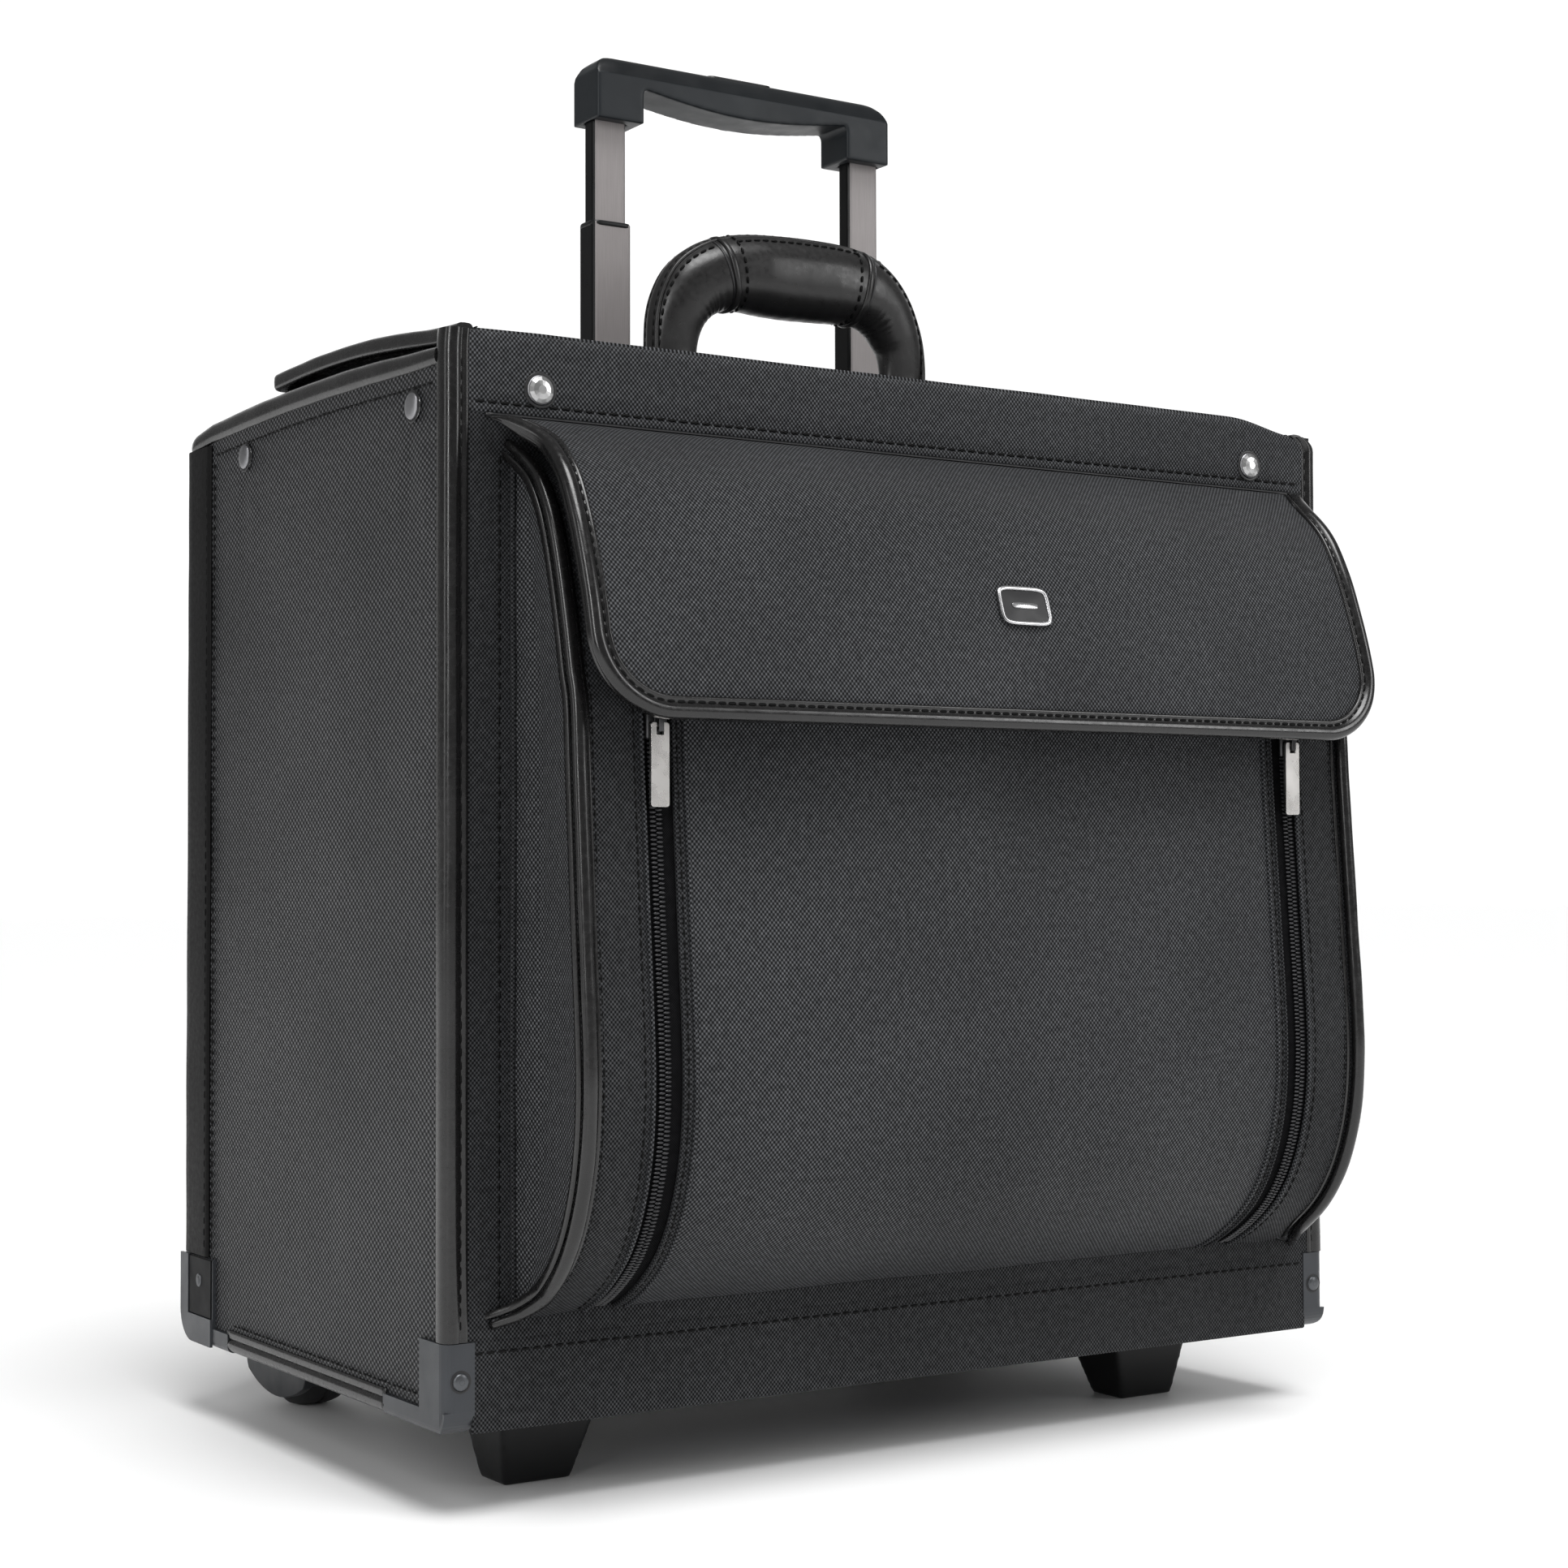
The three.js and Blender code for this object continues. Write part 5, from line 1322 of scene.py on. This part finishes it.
def carry_handle():
    n = 150
    o, _ = resample(catmull(OUT), n=n)
    i, _ = resample(catmull(INN), n=n)
    c = (o + i) / 2
    c, d = resample(c, n=n)
    # radial half width from the nearest points of the two outlines
    oo, _ = resample(catmull(OUT), n=900)
    ii, _ = resample(catmull(INN), n=900)
    t = unit(np.gradient(c, axis=0))
    nr = np.stack([-t[:, 1], t[:, 0]], 1)  # outwards
    ro = np.array([min(np.linalg.norm(oo - p, axis=1)) for p in c])
    ri = np.array([min(np.linalg.norm(ii - p, axis=1)) for p in c])
    kk = np.ones(7) / 7
    ro = np.convolve(np.pad(ro, 3, mode="edge"), kk, "valid")
    ri = np.convolve(np.pad(ri, 3, mode="edge"), kk, "valid")
    f = d / d[-1]
    # half depth: thin at the feet, full in the grip
    dep = np.interp(f, [0, 0.05, 0.14, 0.27, 0.4, 0.6, 0.73, 0.86, 0.95, 1], [6.0, 7.0, 10.5, 13.6, 15.6, 15.6, 13.6, 10.5, 7.0, 6.0])
    grip = 1 / (1 + np.exp(-(f - 0.305) * 240)) * 1 / (1 + np.exp((f - 0.69) * 240))
    m = 36
    a = np.linspace(0, 2 * math.pi, m, endpoint=False)
    P = np.zeros((n, m, 3))
    rng_ = wobble(12.3, 1.0, 1 / 9)
    for k in range(n):
        ca, sa = np.cos(a), np.sin(a)
        p = 2.35
        rr = np.where(sa > 0, ro[k], ri[k])
        u = dep[k] * np.sign(ca) * np.abs(ca) ** (2 / p)
        v = rr * np.sign(sa) * np.abs(sa) ** (2 / p)
        # welt: the outer crest is pinched to a ridge where the two halves are sewn
        crest = np.clip(sa, 0, 1) ** 14
        v = v + 0.4 * crest
        u = u * (1 - 0.14 * np.clip(sa, 0, 1) ** 3)
        # tighter just outside the sleeve, fuller on it
        fullness = 1 + 0.022 * grip[k] - 0.012
        u, v = u * fullness, v * (1 + 0.012 * grip[k] - 0.006)
        base = np.stack([c[k, 0] + nr[k, 0] * v, HY + u, c[k, 1] + nr[k, 1] * v], 1)
        P[k] = base
    # wrinkles across the inner side of the grip and the bends
    inner = np.clip(-np.sin(a), 0, 1) ** 1.2
    bend = np.exp(-((f - 0.22) / 0.07) ** 2) + np.exp(-((f - 0.78) / 0.07) ** 2)
    for k in range(n):
        wr = (0.3 * np.sin(f[k] * 330 + 2.0 * np.sin(f[k] * 60)) * bend[k] + 0.05 * math.sin(f[k] * 150) * grip[k]) * inner
        nz = 0.1 * rng_(P[k])
        out = np.stack([nr[k, 0] * np.sin(a), np.cos(a), nr[k, 1] * np.sin(a)], 1)
        P[k] += out * (wr + nz)[:, None]
    V = P.reshape(-1, 3)
    F = [(q * m + j, (q + 1) * m + j, (q + 1) * m + (j + 1) % m, q * m + (j + 1) % m) for q in range(n - 1) for j in range(m)]
    F += [tuple(range(m)), tuple((n - 1) * m + j for j in range(m))]
    h = make("carry_handle_leather", V, F, "leather_handle", "carry_handle", uvs=V[:, [0, 2]], replaces="carry_handle")
    h.modifiers.new("s", "SUBSURF").levels = 1
    h.modifiers["s"].render_levels = 1
    apply(h)
    # sewn crest: a raised welt with stitches on both flanks
    crest = np.stack([c[:, 0] + nr[:, 0] * (ro + 0.2), np.full(n, HY), c[:, 1] + nr[:, 1] * (ro + 0.2)], 1)[4:-4]
    nn = np.stack([nr[:, 0], np.zeros(n), nr[:, 1]], 1)[4:-4]
    t3, u3, v3 = frames(crest, nn)
    # the outer rim: a flat strip with a raised edge on each side
    sweep("carry_handle_welt", crest - nn * 0.7, u3, v3, [(-5.6, -1.2), (-5.9, -0.2), (-5.3, 0.5), (-4.2, 0.55), (-3.4, 0.35), (-1.6, 1.25), (0, 1.45), (1.6, 1.25), (3.4, 0.35), (4.2, 0.55), (5.3, 0.5), (5.9, -0.2), (5.6, -1.2)], "leather_handle", "carry_handle", sharp=75)
    lines = []
    for sg in (-1, 1):
        q = crest - nn * 0.45 + np.array([0, sg * 3.5, 0])
        lines.append((q, unit(nn + np.array([0, sg * 0.25, 0]))))
    for j in (5, 13):
        for k0, k1 in ((0.03, 0.29), (0.33, 0.67), (0.71, 0.97)):
            seg = P[int(k0 * n):int(k1 * n), j]
            cen = P[int(k0 * n):int(k1 * n)].mean(1)
            lines.append((seg, unit(seg - cen)))
    stitch_row(lines, "carry_handle", "carry_handle_stitches", pitch=4.6, length=3.2, width=1.3, height=0.7, lift=0.2)
    # sleeve over the grip: rolled ends, a near-black groove beside each as painted shade, and a stitch row just inside
    rows = []
    for nm, fs, sg in (("left", 0.305, 1), ("right", 0.69, -1)):
        k = int(fs * (n - 1))
        for part, dk, a_, b_ in (("edge", 0, 1.5, 0.9), ("groove", -sg * 2, 0.6, 0.35)):
            ring = P[k + dk]
            cen = ring.mean(0)
            loop = cen + (ring - cen) * (1.01 if part == "edge" else 1.004)
            tt = unit(np.roll(loop, -1, 0) - np.roll(loop, 1, 0))
            outn = unit(loop - cen)
            sweep(f"carry_handle_sleeve_{part}_{nm}", loop, np.cross(tt, outn), outn, superellipse(a_, b_, 10), "leather_handle" if part == "edge" else "inlay", "carry_handle", closed=True)
        ring = P[k + sg * 4]
        cen = ring.mean(0)
        loop = cen + (ring - cen) * 1.012
        loop = np.vstack([loop, loop[:1]])
        rows.append((loop, unit(loop - cen)))
    stitch_row(rows, "carry_handle", "carry_handle_sleeve_stitches", pitch=4.6, length=3.1, width=1.2, height=0.6, lift=0.15)


carry_handle()

# ------------------------------------------------------------------ trolley
# side faces (|normal.x| > 0.6) of the tube stages take the near-black material, the others the grey tube finish
def tube_faces(p):
    return 1 if abs(p.normal.x) > 0.6 else 0


for s in ("left", "right"):
    from_cad(f"trolley_middle_tube_{s}", f"trolley_outer_stage_{s}", ["tube", "tubeblack"], "trolley_lower", bevel=0, sharp=50, fmat=tube_faces)
    from_cad(f"trolley_inner_tube_{s}", f"trolley_inner_stage_{s}", ["tube", "tubeblack"], "trolley_upper", bevel=0, sharp=50, fmat=tube_faces)
    from_cad(f"trolley_rail_{s}", f"trolley_rail_metal_{s}", "rail", "case", bevel=0, sharp=50)
    # plastic collar at the mouth of the outer stage
    lo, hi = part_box(f"trolley_middle_tube_{s}")
    x0, x1, y0, y1 = lo.x * 1000 - OFF[0], hi.x * 1000 - OFF[0], lo.y * 1000 - OFF[1], hi.y * 1000 - OFF[1]
    zt = hi.z * 1000 - OFF[2]
    cx, cy, hw, hd = (x0 + x1) / 2, (y0 + y1) / 2, (x1 - x0) / 2, (y1 - y0) / 2
    pth = np.array([(cx + a, cy + b, 0) for a, b in superellipse(hw - 0.9, hd - 0.9, 48, 7)])
    tt = unit(np.roll(pth, -1, 0) - np.roll(pth, 1, 0))
    sd = np.cross(tt, Z)
    sec = np.array([(-0.95, zt - 1.6), (1.0, zt - 1.6), (1.3, zt - 1.2), (1.3, zt + 0.1), (0.9, zt + 0.7), (-0.4, zt + 0.8), (-0.95, zt + 0.2)])
    sweep(f"trolley_collar_{s}", pth, sd, Z, sec, "blackplastic", "trolley_lower", closed=True, sharp=50)

g = remeshed("trolley_grip", "trolley_grip_moulding", ["grip", "grip_top_painted_shade"], "trolley_upper", voxel=0.75, smooth=7, factor=0.5)
_co = np.zeros(len(g.data.vertices) * 3)
g.data.vertices.foreach_get("co", _co)
_co = _co.reshape(-1, 3) * 1000 - OFF
_up = np.clip(_co[:, 2] - 588.5, 0, None)
_w = np.clip(np.abs(_co[:, 1] - 173.2) / 12, 0, 1)
_co[:, 1] -= np.sign(_co[:, 1] - 173.2) * _up * 0.42 * _w
_end = np.clip(np.abs(_co[:, 0] - 240) - 70, 0, None) / 13
_co[:, 2] -= 2.2 * _end ** 2.2 * np.clip((_co[:, 2] - 585) / 13, 0, 1)
g.data.vertices.foreach_set("co", W(_co).ravel())
# faces on the grip's top (above z 588.8, not the ends) take the darker copy of the grip plastic: painted shade
for q in g.data.polygons:
    c = np.array(q.center) * 1000 - OFF
    q.material_index = 1 if c[2] > 588.8 - 0.02 * abs(c[0] - 240) * 0 and abs(q.normal.x) < 0.75 else 0
g.data.update()
_b = from_cad("release_button", "release_button_cap", "blackplastic", "release_button", bevel=0.8, seg=3, sharp=60)
_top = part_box("trolley_grip")[1].z + 0.0003
for _v in _b.data.vertices:
    if _v.co.z > _top:
        _v.co.z = _top + (_v.co.z - _top) * 0.12
from_cad("trolley_top_bezel", "trolley_bezel_moulding", "grip", "case", bevel=0.9, seg=3, sharp=50)

# ------------------------------------------------------------------ feet, wheels
for s in ("left", "right"):
    remeshed(f"foot_{s}", f"foot_moulding_{s}", "blackplastic", "case", voxel=1.0, smooth=16, factor=0.5)
    from_cad(f"wheel_housing_{s}", f"wheel_housing_moulding_{s}", "housing", "case", bevel=1.3, seg=3, angle=40, sharp=60)
    from_cad(f"wheel_axle_{s}", f"wheel_axle_pin_{s}", "steel", "case", bevel=0.4, seg=2, angle=40)


def wheel(side, mx):
    c = float(mx(55.0))
    R = 30.0
    tyre = [(21.5, -11.2), (22.5, -12), (26.5, -11.6), (28.8, -9.6), (29.7, -6.5), (30.0, -3.2), (30.0, -1.1), (29.3, -0.6), (29.3, 0.6), (30.0, 1.1), (30.0, 3.2), (29.7, 6.5), (28.8, 9.6), (26.5, 11.6), (22.5, 12), (21.5, 11.2), (21.5, -11.2)]
    lathe(f"tyre_{side}", tyre, (c, 256, -3.5), X, "rubber", f"wheel_{side}", n=72, replaces=f"wheel_{side}")
    hub = [(3.4, -11), (6.5, -11), (7.2, -10), (7.4, -7), (10, -6), (18.5, -6.4), (20.2, -8.5), (21.4, -9.4), (21.4, 9.4), (20.2, 8.5), (18.5, 6.4), (10, 6), (7.4, 7), (7.2, 10), (6.5, 11), (3.4, 11), (3.4, -11)]
    lathe(f"hub_{side}", hub, (c, 256, -3.5), X, "housing", f"wheel_{side}", n=48)


both(wheel)

# ------------------------------------------------------------------ floor and light
def floor():
    me = bpy.data.meshes.new("floor")
    xs = [(-14, -14, 0), (14, -14, 0), (14, 14, 0), (-14, 14, 0)]
    me.from_pydata(xs, [], [(0, 1, 2, 3)])
    ob = bpy.data.objects.new("floor", me)
    bpy.context.scene.collection.objects.link(ob)
    m, nt, b = _nt("mat_floor")
    b.inputs["Base Color"].default_value = (0.97, 0.97, 0.97, 1)
    b.inputs["Roughness"].default_value = 0.6
    b.inputs["Specular IOR Level"].default_value = 0.2
    me.materials.append(m)


floor()
w = bpy.data.worlds.new("world")
bpy.context.scene.world = w
w.use_nodes = True
_bg = w.node_tree.nodes["Background"]
_k = N(w.node_tree)
_tc = w.node_tree.nodes.new("ShaderNodeTexCoord").outputs["Generated"]
_x, _y, _z = _k.sep(_tc)
_d = _k.math("ADD", _k.math("MULTIPLY", _x, math.sin(yaw)), _k.math("MULTIPLY", _y, math.cos(yaw)))
_mr = w.node_tree.nodes.new("ShaderNodeMapRange")
_mr.interpolation_type = "SMOOTHSTEP"
w.node_tree.links.new(_d, _mr.inputs[0])
for _i, _v in enumerate((0.62, 0.92, 0.2, 1.1)):
    _mr.inputs[_i + 1].default_value = _v
w.node_tree.links.new(_mr.outputs[0], _bg.inputs[1])
_bg.inputs[0].default_value = (1.0, 1.0, 1.0, 1)


def area(name, at, look, size, power, sizey=None, color=(1, 1, 1)):
    d = bpy.data.lights.new(name, "AREA")
    d.shape = "RECTANGLE"
    d.size, d.size_y = size, sizey or size
    d.energy = power
    d.color = color
    o = bpy.data.objects.new(name, d)
    bpy.context.scene.collection.objects.link(o)
    o.location = at
    v = Vector(look) - Vector(at)
    o.rotation_euler = v.to_track_quat("-Z", "Y").to_euler()
    return o


_sun = bpy.data.lights.new("overhead", "SUN")
_sun.energy = 2.7
_sun.angle = math.radians(34)
_so = bpy.data.objects.new("overhead", _sun)
bpy.context.scene.collection.objects.link(_so)
_so.rotation_euler = (math.radians(24), math.radians(-3), 0)
area("front", (2.1, -2.3, 1.5), (0, 0, 0.3), 0.8, 22, 1.5)
area("side", (-2.7, 0.15, 1.0), (0, 0, 0.3), 0.5, 7, 1.5)
area("left", (-2.0, -1.5, 1.3), (0, 0, 0.3), 0.2, 19, 1.6)
bpy.context.scene.view_settings.view_transform = "Standard"
bpy.context.scene.view_settings.look = "None"
